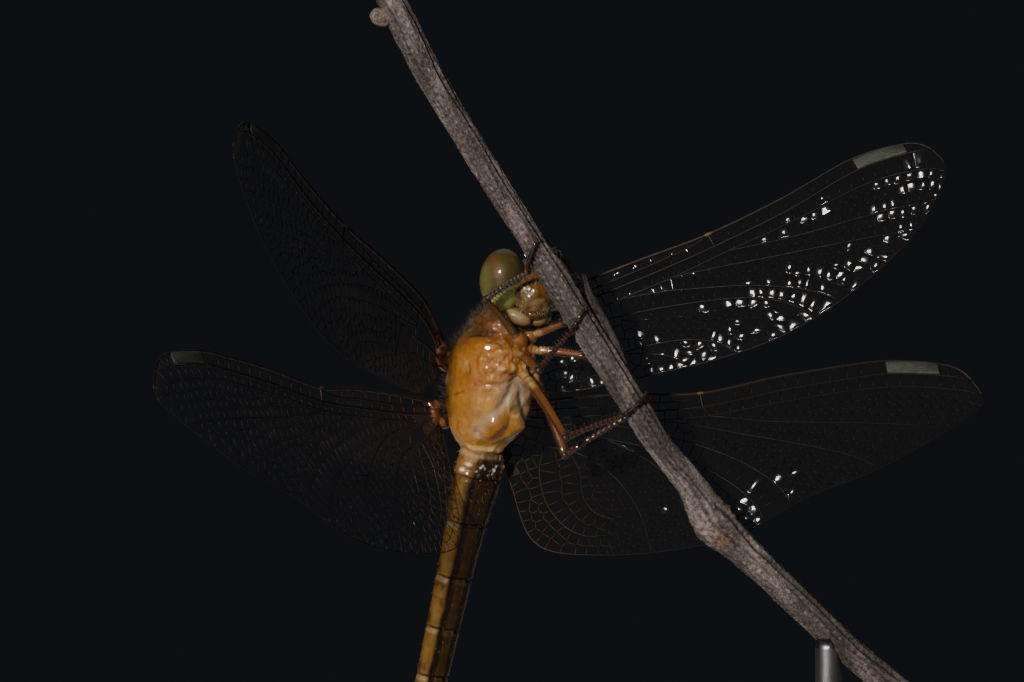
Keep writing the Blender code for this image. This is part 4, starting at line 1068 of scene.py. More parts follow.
# Every line is distance along the span, distance behind the root line.
FOREWING = {
    "front": ((0.0, -0.8), (3.2, -1.9), (7.2, -1.6), (11.0, -1.05), (15.0, -0.4),
              (20.0, -0.1), (25.0, -0.15), (28.2, 0.65), (29.4, 1.6), (29.85, 3.1)),
    "rear": ((0.0, 1.2), (2.3, 3.8), (5.0, 5.0), (8.8, 6.2), (12.2, 7.2),
             (16.2, 7.85), (20.6, 7.6), (25.2, 6.5), (28.2, 4.9), (29.75, 3.6)),
    "Sc": ((0, -.40), (3.2, -1.25), (7.2, -.98), (11, -.50), (14.0, -.25), (15.1, -.39)),
    "R1": ((0, .05), (3.2, -.62), (7.2, -.35), (11, .12), (15.1, .50), (20, .78), (25, .72),
           (28.2, 1.45), (29.55, 2.0)),
    "RP1": ((4.25, .10), (6.0, .28), (8.5, .58), (12, 1.02), (15.6, 1.25), (20, 1.6),
            (25, 1.75), (28.2, 2.6), (29.85, 3.4)),
    "RP2": ((15.6, 1.25), (18, 2.05), (21, 2.95), (24, 3.7), (26.5, 4.4), (28.2, 4.9)),
    "IR2": ((12, 1.02), (15, 2.0), (18, 3.1), (21, 4.15), (24, 5.2), (26.3, 6.05)),
    "RP3": ((8.5, .58), (11, 1.5), (13.5, 2.75), (16, 4.1), (18.3, 5.7), (19.6, 6.9),
            (20.2, 7.65)),
    "MA": ((4.25, .35), (6, .95), (7.3, 1.35), (10, 2.25), (13, 3.45), (15.5, 4.7),
           (17.3, 6.2), (18.3, 7.75)),
    "MP": ((6.9, 3.75), (8.7, 4.2), (10.7, 5.0), (12.3, 6.1), (13.2, 7.4)),
    "Cu": ((6.9, 3.75), (8.2, 4.55), (9.4, 5.4), (10.2, 6.6)),
    "M": ((0, .45), (2.5, .75), (4.25, 1.15), (6.3, 1.35)),
    "A": ((0, .85), (2.5, 1.75), (4.6, 2.35), (5.6, 2.9), (6.9, 3.75)),
    "triangle": ((6.3, 1.35), (7.3, 1.35), (6.9, 3.75)),
    "nodus": 15.1, "stigma": (25.0, 28.2), "arculus": 4.25,
    "splits": (15.6, 12.0, 8.5), "antenodals": 1.14}
HINDWING = {
    "front": ((-0.1, -0.1), (4.1, 0.1), (8.4, 0.5), (12.7, 1.15), (17.5, 0.85),
              (21.6, 0.8), (24.3, 0.9), (27.4, 1.6), (28.9, 2.5), (29.75, 4.2)),
    "rear": ((0.0, 1.4), (0.35, 5.2), (1.3, 9.2), (5.0, 10.55), (10.0, 10.95),
             (13.9, 10.5), (18.0, 8.9), (22.6, 7.8), (27.2, 6.0), (29.6, 4.8)),
    "Sc": ((0, .20), (4.1, .72), (8.4, 1.12), (11.6, 1.45), (12.7, 1.17)),
    "R1": ((0, .55), (4.1, 1.28), (8.4, 1.68), (12.7, 2.0), (17.5, 1.75), (21.6, 1.70),
           (24.3, 1.80), (27.4, 2.5), (29.2, 3.1)),
    "RP1": ((3.0, 1.55), (5, 1.95), (8.4, 2.35), (12.9, 2.72), (17.5, 2.6), (21.6, 2.6),
            (25, 2.9), (28, 3.7), (29.7, 4.4)),
    "RP2": ((12.9, 2.72), (16, 3.55), (19, 4.2), (22, 4.75), (25, 5.4), (27.3, 6.0)),
    "IR2": ((9.6, 2.45), (12.7, 3.45), (16, 4.7), (19, 5.8), (21.3, 6.8), (22.8, 7.75)),
    "RP3": ((6.3, 2.12), (9, 3.1), (12, 4.5), (14.6, 6.2), (16.3, 7.9), (17.0, 9.3)),
    "MA": ((3.0, 1.80), (4.8, 2.45), (6.5, 3.12), (9, 4.15), (11, 5.2), (13.3, 7.0),
           (14.8, 8.8), (15.3, 10.1)),
    "MP": ((6.5, 3.12), (8.4, 4.6), (10.2, 6.6), (11.3, 8.8), (11.7, 10.8)),
    "Cu": ((4.15, 3.45), (5.6, 4.5), (7.0, 6.3), (7.8, 8.4), (8.1, 10.85)),
    "M": ((0, .85), (1.6, 1.4), (3.0, 2.02), (3.95, 2.3)),
    "A": ((0, 1.15), (1.5, 2.1), (2.7, 2.95), (4.15, 3.45)),
    "inner": ((2.7, 2.95), (2.15, 4.8), (2.3, 6.7), (3.1, 8.3), (4.3, 9.2), (5.6, 9.35)),
    "outer": ((4.15, 3.45), (4.6, 5.0), (4.55, 6.6), (5.1, 7.8), (6.1, 8.5), (5.6, 9.35)),
    "triangle": ((3.95, 2.3), (6.5, 3.12), (4.15, 3.45)),
    "nodus": 12.7, "stigma": (24.2, 27.4), "arculus": 3.0,
    "splits": (12.9, 9.6, 6.3), "antenodals": 1.25}
LINE = 90           # points on each side of a wing field
FIRST_CELL = 0.55   # place of a field's first cell, as a share of the cells' size
LEAST_WIDTH = 0.30  # width below which a field gets no cell
HINGE = (           # lumps of the wing's hinge: along the span, back from its front edge, lift
    ((-0.20, 0.20, 0.0), (0.70, 0.42, 0.36)), ((0.25, 0.72, 0.03), (0.50, 0.40, 0.30)),
    ((-0.30, 1.25, 0.0), (0.62, 0.42, 0.34)), ((0.65, 0.12, 0.0), (0.45, 0.20, 0.20)),
    ((0.45, 1.25, 0.0), (0.40, 0.20, 0.18)))


class Planform:
    """Vein lines and cell fields of one kind of wing, flat, seen from above."""

    def __init__(self, plan, seed):
        self.plan = plan
        self.draw = np.random.default_rng(seed)
        steps = np.linspace(0, 1, 160)
        self.front, self.rear = smooth(plan["front"], steps), smooth(plan["rear"], steps)
        self.outline = np.vstack([self.front, self.rear[::-1]])
        self.veins = {}
        for key, line in plan.items():
            if isinstance(line, tuple) and isinstance(line[0], tuple) \
                    and key not in ("front", "rear", "triangle"):
                self.veins[key] = smooth(line, np.linspace(0, 1, 60))
        for key in ("R1", "RP1", "RP2", "IR2", "RP3", "MA", "MP", "Cu"):
            line = self.veins[key]
            near = self.outline[np.argmin(np.linalg.norm(self.outline - line[-1], axis=1))]
            line += np.linspace(0, 1, len(line))[:, None] ** 3 * (near - line[-1])
        self.cells, self.links = [], {}

    def line(self, key):
        return {"front": self.front, "rear": self.rear, **self.veins}[key]

    def span(self, key, low=-9.0, high=99.0):
        """The part of a line between two distances along the span."""
        line = self.line(key)
        low, high = max(low, line[0, 0]), min(high, line[:, 0].max())
        inner = line[(line[:, 0] > low + 1e-6) & (line[:, 0] < high - 1e-6)]
        ends = [np.array((x, np.interp(x, line[:, 0], line[:, 1]))) for x in (low, high)]
        if high == line[:, 0].max():
            ends[1] = line[np.argmax(line[:, 0])]
        return np.vstack([ends[0], inner, ends[1]])

    def margin(self, a, b):
        i, j = (int(np.argmin(np.linalg.norm(self.outline - p, axis=1))) for p in (a, b))
        line = self.outline[i:j + 1] if i <= j else self.outline[j:i + 1][::-1]
        return np.vstack([a, line[1:-1], b]) if len(line) > 2 else np.array([a, b])

    def field(self, front, rear, size, rows=None, end=None):
        """Fill the space between two lines with cells."""
        A, B = even(front, LINE), even(rear, LINE)
        middle = (A + B) / 2
        along = np.concatenate([[0], np.cumsum(np.linalg.norm(np.diff(middle, axis=0), axis=1))])
        wide = np.linalg.norm(A - B, axis=1)
        ahead = unit(np.gradient(middle, axis=0))
        wide = wide * np.abs(np.cross(np.hstack([unit(A - B), np.zeros((LINE, 1))]),
                                      np.hstack([ahead, np.zeros((LINE, 1))]))[:, 2])
        seeds, s = [], size * FIRST_CELL
        while s < along[-1] - 0.12:
            here = np.interp(s, along, wide)
            count = max(1, round(here / size)) if rows is None else rows
            if here > LEAST_WIDTH:
                for k in range(count):
                    shift = (0.5 * size if k % 2 else 0.0) if count > 1 else 0.0
                    at = min(s + shift + self.draw.uniform(-0.10, 0.10) * size, along[-1] - 0.05)
                    place = np.interp(at, along, np.arange(LINE))
                    part = (k + 0.5 + self.draw.uniform(-0.10, 0.10) * (count > 1)) / count
                    i, f = int(place), place % 1
                    j = min(i + 1, LINE - 1)
                    a, b = A[i] + (A[j] - A[i]) * f, B[i] + (B[j] - B[i]) * f
                    seeds.append((*(a + (b - a) * part), place))
            s += size * (1.0 + 0.25 * (rows == 1) * self.draw.uniform(-0.4, 0.4))
        if not seeds:
            seeds = [(*middle[LINE // 2], LINE / 2)]
        seeds = np.array(seeds)
        step = along[-1] / (LINE - 1)
        window = max(4, int(math.ceil(2.4 * size / step)))
        for x, y, place in seeds:
            i, j = max(0, int(place) - window), min(LINE - 1, int(place) + window)
            if j == LINE - 1 and end is not None:
                polygon = np.vstack([A[i:], end[1:-1], B[i:][::-1]])
            else:
                polygon = np.vstack([A[i:j + 1], B[i:j + 1][::-1]])
            polygon = [tuple(p) for p in polygon]
            tags = [0] * len(polygon)
            tags[j - i] = 0 if j == LINE - 1 else 1
            d = np.hypot(seeds[:, 0] - x, seeds[:, 1] - y)
            for m in np.argsort(d)[1:15]:
                if d[m] > 1e-6:
                    point = ((x + seeds[m, 0]) / 2, (y + seeds[m, 1]) / 2)
                    polygon, tags = clipped(polygon, tags, point,
                                            (seeds[m, 0] - x, seeds[m, 1] - y))
            self.keep(polygon, tags)

    def keep(self, polygon, tags):
        points = []
        for (p, tag, q) in zip(polygon, tags, polygon[1:] + polygon[:1]):
            if tag and math.hypot(p[0] - q[0], p[1] - q[1]) > 0.03:
                key = (round((p[0] + q[0]) * 40), round((p[1] + q[1]) * 40))
                self.links.setdefault(key, (p, q))
            if not points or math.hypot(p[0] - points[-1][0], p[1] - points[-1][1]) > 0.04:
                points.append(p)
        if len(points) > 2:
            points = np.array(points)
            x, y = points.T
            area = 0.5 * abs(np.dot(x, np.roll(y, 1)) - np.dot(y, np.roll(x, 1)))
            if area > 0.02:
                self.cells.append((points, area))

    def fill(self):
        """Lay out the fields of cells between the veins."""
        plan, span, size = self.plan, self.span, 0.66
        split2, split_i, split3 = plan["splits"]
        nodus, arculus = plan["nodus"], plan["arculus"]
        spot_start, spot_end = plan["stigma"]
        T1, T2, T3 = (np.array(p) for p in plan["triangle"])
        self.field(span("front", 0, nodus), span("Sc"), plan["antenodals"], 1)
        self.field(span("Sc"), span("R1", 0, nodus), plan["antenodals"], 1)
        self.field(span("front", nodus, spot_start), span("R1", nodus, spot_start), 1.0, 1)
        tip = self.veins["R1"][-1]
        self.field(self.margin(span("front", spot_end)[0], tip), span("R1", spot_end), 0.55, 1)
        spot = np.vstack([span("front", spot_start, spot_end),
                          span("R1", spot_start, spot_end)[::-1]])
        self.spot = spot
        R1, RP1, RP2, IR2, RP3, MA, MP, Cu = (self.veins[k] for k in
                                              ("R1", "RP1", "RP2", "IR2", "RP3", "MA", "MP", "Cu"))
        self.field(span("R1", arculus), RP1, 0.80, 1, self.margin(R1[-1], RP1[-1]))
        self.field(span("R1", 0, arculus), span("M", 0, arculus), 9.0, 1)
        self.field(span("RP1", split2), RP2, size, None, self.margin(RP1[-1], RP2[-1]))
        both = np.vstack([span("RP1", split_i, split2), RP2[1:]])
        self.field(both, IR2, size, None, self.margin(RP2[-1], IR2[-1]))
        both = np.vstack([span("RP1", split3, split_i), IR2[1:]])
        self.field(both, RP3, size, None, self.margin(IR2[-1], RP3[-1]))
        both = np.vstack([span("RP1", arculus, split3), RP3[1:]])
        self.field(both, MA, size, 1, self.margin(RP3[-1], MA[-1]))
        A_end = self.veins["A"]
        self.field(span("MA", 0, T2[0]), np.vstack([span("M", arculus), T2]),
                   1.7 if "inner" in plan else 1.5, 1)
        self.keep([tuple(T1), tuple(T2), tuple(T3)], [0, 0, 0])
        if "inner" not in plan:
            self.field(span("MA", T2[0]), np.vstack([T2, MP]), size, None,
                       self.margin(MA[-1], MP[-1]))
            self.field(MP, Cu, size, None, self.margin(MP[-1], Cu[-1]))
            self.field(self.veins["M"], A_end, 0.95, None, np.array([T1, T3]))
            self.field(np.vstack([A_end, Cu[1:]]), self.margin(self.rear[0], Cu[-1]), size, None)
        else:
            inner, outer = self.veins["inner"], self.veins["outer"]
            toe = self.outline[np.argmin(np.linalg.norm(self.outline - (5.9, 10.7), axis=1))]
            self.field(span("MA", T2[0]), MP, size, None, self.margin(MA[-1], MP[-1]))
            self.field(np.vstack([T3, MP]), Cu, size, None, self.margin(MP[-1], Cu[-1]))
            self.field(self.veins["M"], A_end, 1.3, 1, np.array([T1, T3]))
            self.field(outer, inner, 0.62, 2)
            self.field(np.vstack([span("A", 0, 2.7), inner[1:]]),
                       self.margin(self.rear[0], toe), size, None, np.array([inner[-1], toe]))
            self.field(Cu, np.vstack([outer, toe]), size, None, self.margin(Cu[-1], toe))
            self.toe = toe
        return self

    def height(self, points):
        """Lift of the pleated wing over its flat plan."""
        x, y = points[:, 0], points[:, 1]
        ahead = np.interp(x, self.front[:, 0], self.front[:, 1])
        behind = np.interp(x, self.rear[:, 0], self.rear[:, 1])
        part = np.clip((y - ahead) / np.maximum(behind - ahead, 0.3), 0, 1)
        pleat = np.interp(part, (0, 0.1, 0.2, 0.32, 0.45, 0.6, 0.75, 1),
                          (0.6, -1.0, 1.0, -0.5, 0.2, -0.3, 0.2, 0))
        return 0.14 * pleat * (1 - 0.7 * np.clip(x / 30, 0, 1)) \
            + 0.35 * np.sin(math.pi * part) * np.clip(x / 30, 0, 1)


def clipped(polygon, tags, point, normal):
    """Keep the side of a straight cut that is away from its normal."""
    depth = [(p[0] - point[0]) * normal[0] + (p[1] - point[1]) * normal[1] for p in polygon]
    if max(depth) <= 0:
        return polygon, tags
    made, made_tags = [], []
    count = len(polygon)
    for i in range(count):
        j = (i + 1) % count
        if depth[i] <= 0:
            made.append(polygon[i])
            made_tags.append(tags[i])
        if (depth[i] <= 0) != (depth[j] <= 0):
            t = depth[i] / (depth[i] - depth[j])
            made.append((polygon[i][0] + (polygon[j][0] - polygon[i][0]) * t,
                         polygon[i][1] + (polygon[j][1] - polygon[i][1]) * t))
            made_tags.append(1 if depth[i] <= 0 else tags[i])
    return made, made_tags


def wing_axes(side, sweep, droop, nose_up):
    s, d, n = (math.radians(v) for v in (sweep, droop, nose_up))
    span = np.array((math.sin(s) * math.cos(d), math.cos(s) * math.cos(d), -math.sin(d)))
    back = np.array((-1.0, 0, 0))
    back = unit(back - span * (back @ span))
    back = back * math.cos(n) - np.cross(span, back) * math.sin(n)
    if side == "right":
        span[1], back[1] = -span[1], -back[1]
    forward = -back if side == "left" else back
    return span, back, np.cross(span, forward)


def mirror_slope(point, axes):
    """Tilt along and behind the span that throws the key light to the camera."""
    along, behind, out = axes @ (unit(KEY_AT - point) + unit(CAMERA_AT - point))
    return -np.array((along, behind)) / out


def sparkle(name, x, part, seed):
    """Share of the cells at a place on a wing that shine towards the camera."""
    if name == "hindwing_left":
        return max(0.80 * np.exp(-((x - 15.4) / 2.6) ** 4) * np.exp(-((part - 0.88) / 0.15) ** 4),
                   0.55 * np.exp(-((x - 11.2) / 1.2) ** 2) * np.exp(-((part - 0.82) / 0.12) ** 2))
    if name != "forewing_left":
        return 0.0
    rear = 0.74 * ramp(part, 0.46, 0.60)
    outer = 0.80 * ramp(x, 25.0, 26.5) * ramp(part, 0.24, 0.34)
    row = 0.65 * ramp(x, 17.0, 18.5) * ramp(-x, -25.0, -24.0) * np.exp(-((part - 0.24) / 0.06) ** 4)
    base = 0.8 * ramp(-x, -6.5, -5.0) * ramp(part, 0.36, 0.46)
    gaps = ripple(np.array([(x * 0.30, part * 3.5)]), 1.4, seed + 50)[0]
    return max(rear, outer, row, base) * ramp(gaps, -0.9, -0.1)


def make_wing(name, seed):
    root, sweep, droop, nose_up = WINGS[name]
    kind, side = name.split("_")
    plan = FOREWING if kind == "forewing" else HINDWING
    form = Planform(plan, seed).fill()
    draw = np.random.default_rng(seed + 100)
    span, back, face = wing_axes(side, sweep, droop, nose_up)

    def place(flat, lift=0.0):
        flat = np.asarray(flat, float).reshape(-1, 2)
        z = form.height(flat) + lift
        return from_body(np.array(root) + flat[:, :1] * span + flat[:, 1:] * back
                         + np.broadcast_to(z, (len(flat),))[:, None] * face)

    shape = Shape()
    # membrane: a shallow tilted dome in each cell; tilts near the key light's mirror angle shine
    axes = np.stack([span, back, face]) @ BODY.T
    membrane = [MEMBRANE, AMBER_MEMBRANE, PALE_MEMBRANE]
    for polygon, area in form.cells:
        count = len(polygon)
        centre = polygon.mean(0)
        ahead = np.interp(centre[0], form.front[:, 0], form.front[:, 1])
        behind = np.interp(centre[0], form.rear[:, 0], form.rear[:, 1])
        part = (centre[1] - ahead) / max(behind - ahead, 0.5)
        shine = mirror_slope(place(centre)[0], axes)
        near_by = form.height(centre + np.array(((0.05, 0), (-0.05, 0), (0, 0.05), (0, -0.05))))
        level = np.array((near_by[0] - near_by[1], near_by[2] - near_by[3])) / 0.1
        bulge = draw.uniform(0.026, 0.062) * math.sqrt(area)
        if draw.uniform() < sparkle(name, centre[0], part, seed) and area < 1.2:
            slope = shine - level + draw.normal(size=2) * 0.012
        else:
            bulge *= 0.35
            off = level - shine + draw.normal(size=2) * 0.01
            slope = off * max(1.0, 0.13 / max(np.hypot(*off), 0.01)) + shine - level
        slope = np.clip(slope, -0.35, 0.35)
        parts = np.array((0.90, 0.62, 0.32))
        inner = [centre + (polygon - centre) * p for p in parts]
        lifts = [bulge * (1 - (p / 0.9) ** 2) + (q - centre) @ slope for p, q in zip(parts, inner)]
        flat = np.vstack([polygon, centre + (polygon - centre) * 0.95, *inner, centre])
        lift = np.concatenate([np.zeros(count), lifts[0] * 0.5, *lifts, [bulge]])
        j = np.arange(count)
        k = (j + 1) % count
        quads = np.vstack([np.stack([j + n * count, k + n * count, k + (n + 1) * count,
                                     j + (n + 1) * count], 1) for n in range(4)])
        fan = np.stack([j + 4 * count, k + 4 * count, np.full(count, 5 * count)], 1)
        if kind == "hindwing" and centre[0] < 0.75 and 1.6 < centre[1] < 4.2:
            which = membrane.index(PALE_MEMBRANE)
        elif centre[0] < 2.0 and centre[1] < 2.4:
            which = membrane.index(AMBER_MEMBRANE)
        else:
            which = membrane.index(MEMBRANE)
        shape.add(place(flat, lift), [quads, fan], kind=which)

    # veins: stout along the front, fine behind, all tapering to the margin
    BROWN, DARK = np.array((0.040, 0.018, 0.008)), np.array((0.007, 0.005, 0.004))
    veins = Shape()
    ends = {"front": (0.115, 0.055), "rear": (0.040, 0.030), "Sc": (0.060, 0.040),
            "R1": (0.090, 0.045), "RP1": (0.045, 0.028), "M": (0.060, 0.045),
            "A": (0.055, 0.040), "MA": (0.045, 0.026), "RP3": (0.036, 0.026)}
    for key in ("front", "rear", *form.veins):
        line = form.line(key)
        start, stop = ends.get(key, (0.034, 0.025))
        length = np.linalg.norm(np.diff(line, axis=0), axis=1).sum()
        line = even(line, max(8, int(length / 0.35)))
        part = np.linspace(0, 1, len(line))
        radii = start + (stop - start) * part
        tone = blend(np.broadcast_to(BROWN, (len(line), 3)), DARK, ramp(line[:, 0], 1, 6))
        if key == "front":
            tone = blend(tone, (0.05, 0.028, 0.012), 0.5 * (1 - part))
        rings = tube_rings(place(line), radii, 7)
        points, faces = loft(rings)
        tone = np.vstack([np.repeat(tone, 7, 0), tone[:1], tone[-1:]])
        veins.add(points, faces, tone)
    pairs = list(form.links.values())
    T = plan["triangle"]
    pairs += [(T[0], T[1]), (T[1], T[2]), (T[2], T[0])]
    nodus = plan["nodus"]
    arc = plan["arculus"]
    top = form.span("R1", arc)[0]
    low = form.span("M", arc)[0]
    pairs += [(tuple(top), tuple(low)), (tuple(form.span("R1", arc)[0]),
                                         tuple(form.veins["RP1"][0]))]
    if "inner" in plan:
        pairs.append(((5.6, 9.35), tuple(form.toe)))
    pairs = np.array(pairs, float)
    a, b = place(pairs[:, 0]), place(pairs[:, 1])
    thick = np.interp(pairs[:, 0, 0], (0, 6, 30), (0.030, 0.024, 0.020))
    forward = pairs[:, 0, 1] < np.interp(pairs[:, 0, 0], form.front[:, 0], form.front[:, 1]) + 1.6
    thick = np.where(forward, thick * 1.25, thick)
    points, faces = struts(a, b, thick, 5)
    tone = blend(np.broadcast_to(BROWN, (len(a), 3)), DARK, ramp(pairs[:, 0, 0], 1, 8))
    veins.add(points, faces, np.repeat(tone, 10, 0))
    # nodus: the stout kinked joint on the front edge
    knot = np.array([form.span("front", nodus)[0], form.span("R1", nodus)[0],
                     form.span("RP1", nodus + 0.35)[0]])
    veins.add(*tube(place(even(knot, 12)), np.linspace(0.085, 0.04, 12), 8), DARK)
    grip = form.span("front", nodus - 0.45, nodus + 0.45)
    veins.add(*tube(place(even(grip, 8)), np.interp(np.arange(8), (0, 3.5, 7),
                                                    (0.06, 0.11, 0.06)), 8), (0.10, 0.05, 0.02))
    # wing spot: a thick pale pad framed by dark veins
    spot = form.spot
    middle = spot.mean(0)
    inner = middle + (spot - middle) * np.array((0.975, 0.90))
    rows = [place(inner, lift) for lift in (-0.06, -0.05, 0.05, 0.06)]
    shrunk = middle + (inner - middle) * np.array((0.98, 0.80))
    rows[0], rows[3] = place(shrunk, -0.075), place(shrunk, 0.075)
    points, faces = loft(np.array(rows))
    veins.add(points, faces, (0.036, 0.039, 0.031), 1)
    for x in plan["stigma"]:
        line = np.array([form.span("front", x)[0], form.span("R1", x)[0]])
        veins.add(*tube(place(even(line, 6)), np.full(6, 0.045), 7), DARK)
    # hinge: one lumpy plate where the veins enter the thorax
    start = form.front[0, 1]
    lumps = tuple(((x, start + y, z), radii) for (x, y, z), radii in HINGE)
    rings = radial(lumps, 0.16, (-0.10, start + 0.75, 0.0), 40, 60, 2.2)
    p = rings.reshape(-1, 3)
    lift = 0.03 * ripple(p, 5.0, seed + 70) + 0.02 * ripple(p, 11.0, seed + 75)
    tone = blend(np.broadcast_to(np.array((0.10, 0.036, 0.014)), p.shape), (0.27, 0.13, 0.055),
                 0.8 * ramp(ripple(p, 4.0, seed + 80), 0.0, 0.9))
    lay(veins, rings, outward(rings), lift, tone,
        lambda q: from_body(np.array(root) + q @ np.stack([span, back, face])), 2)
    shape.build(name + "_membrane", membrane, (name,))
    veins.build(name + "_veins", [VEIN, STIGMA, LIMB])


# ---- twig ------------------------------------------------------------------------------
def bark_tint(places, painted_hollow_shade):
    n = ripple(places * (1.5, 1.5, 0.5), 2.3, 31)
    fine = ripple(places * (5, 5, 4), 2.6, 38)
    colour = np.broadcast_to(np.array((0.150, 0.122, 0.116)), (len(places), 3)).copy()
    colour = blend(colour, (0.085, 0.066, 0.060), 0.7 * ramp(n, -0.1, 0.7))
    colour = blend(colour, (0.31, 0.25, 0.24), 0.7 * ramp(-n, 0.0, 0.7))
    colour = blend(colour, (0.44, 0.37, 0.36), 0.65 * ramp(fine, 0.5, 1.2))
    colour = blend(colour, (0.030, 0.023, 0.021), 0.75 * ramp(-fine, 0.4, 1.1))
    rusty = ramp(ripple(places * (1.2, 1.2, 0.8), 1.6, 39), 0.8, 1.3)
    colour = blend(colour, (0.17, 0.075, 0.035), 0.5 * rusty)
    # painted shade: darker in the bark's cracks, pits and hollows
    return blend(colour, (0.018, 0.013, 0.012), painted_hollow_shade)


def fissure(height, painted_hollow_shade, gap, window, width, depth, lip, hollow_shade_share):
    """Cut a crack into the bark and paint shade into it; lip is its raised border's height, distance
    and width.
    """
    crack = np.exp(-(gap / width) ** 2) * window
    rise, at, spread = lip
    height = height - depth * crack + rise * np.exp(-((gap - at) / spread) ** 2) * window
    return height, np.maximum(painted_hollow_shade, hollow_shade_share * crack)


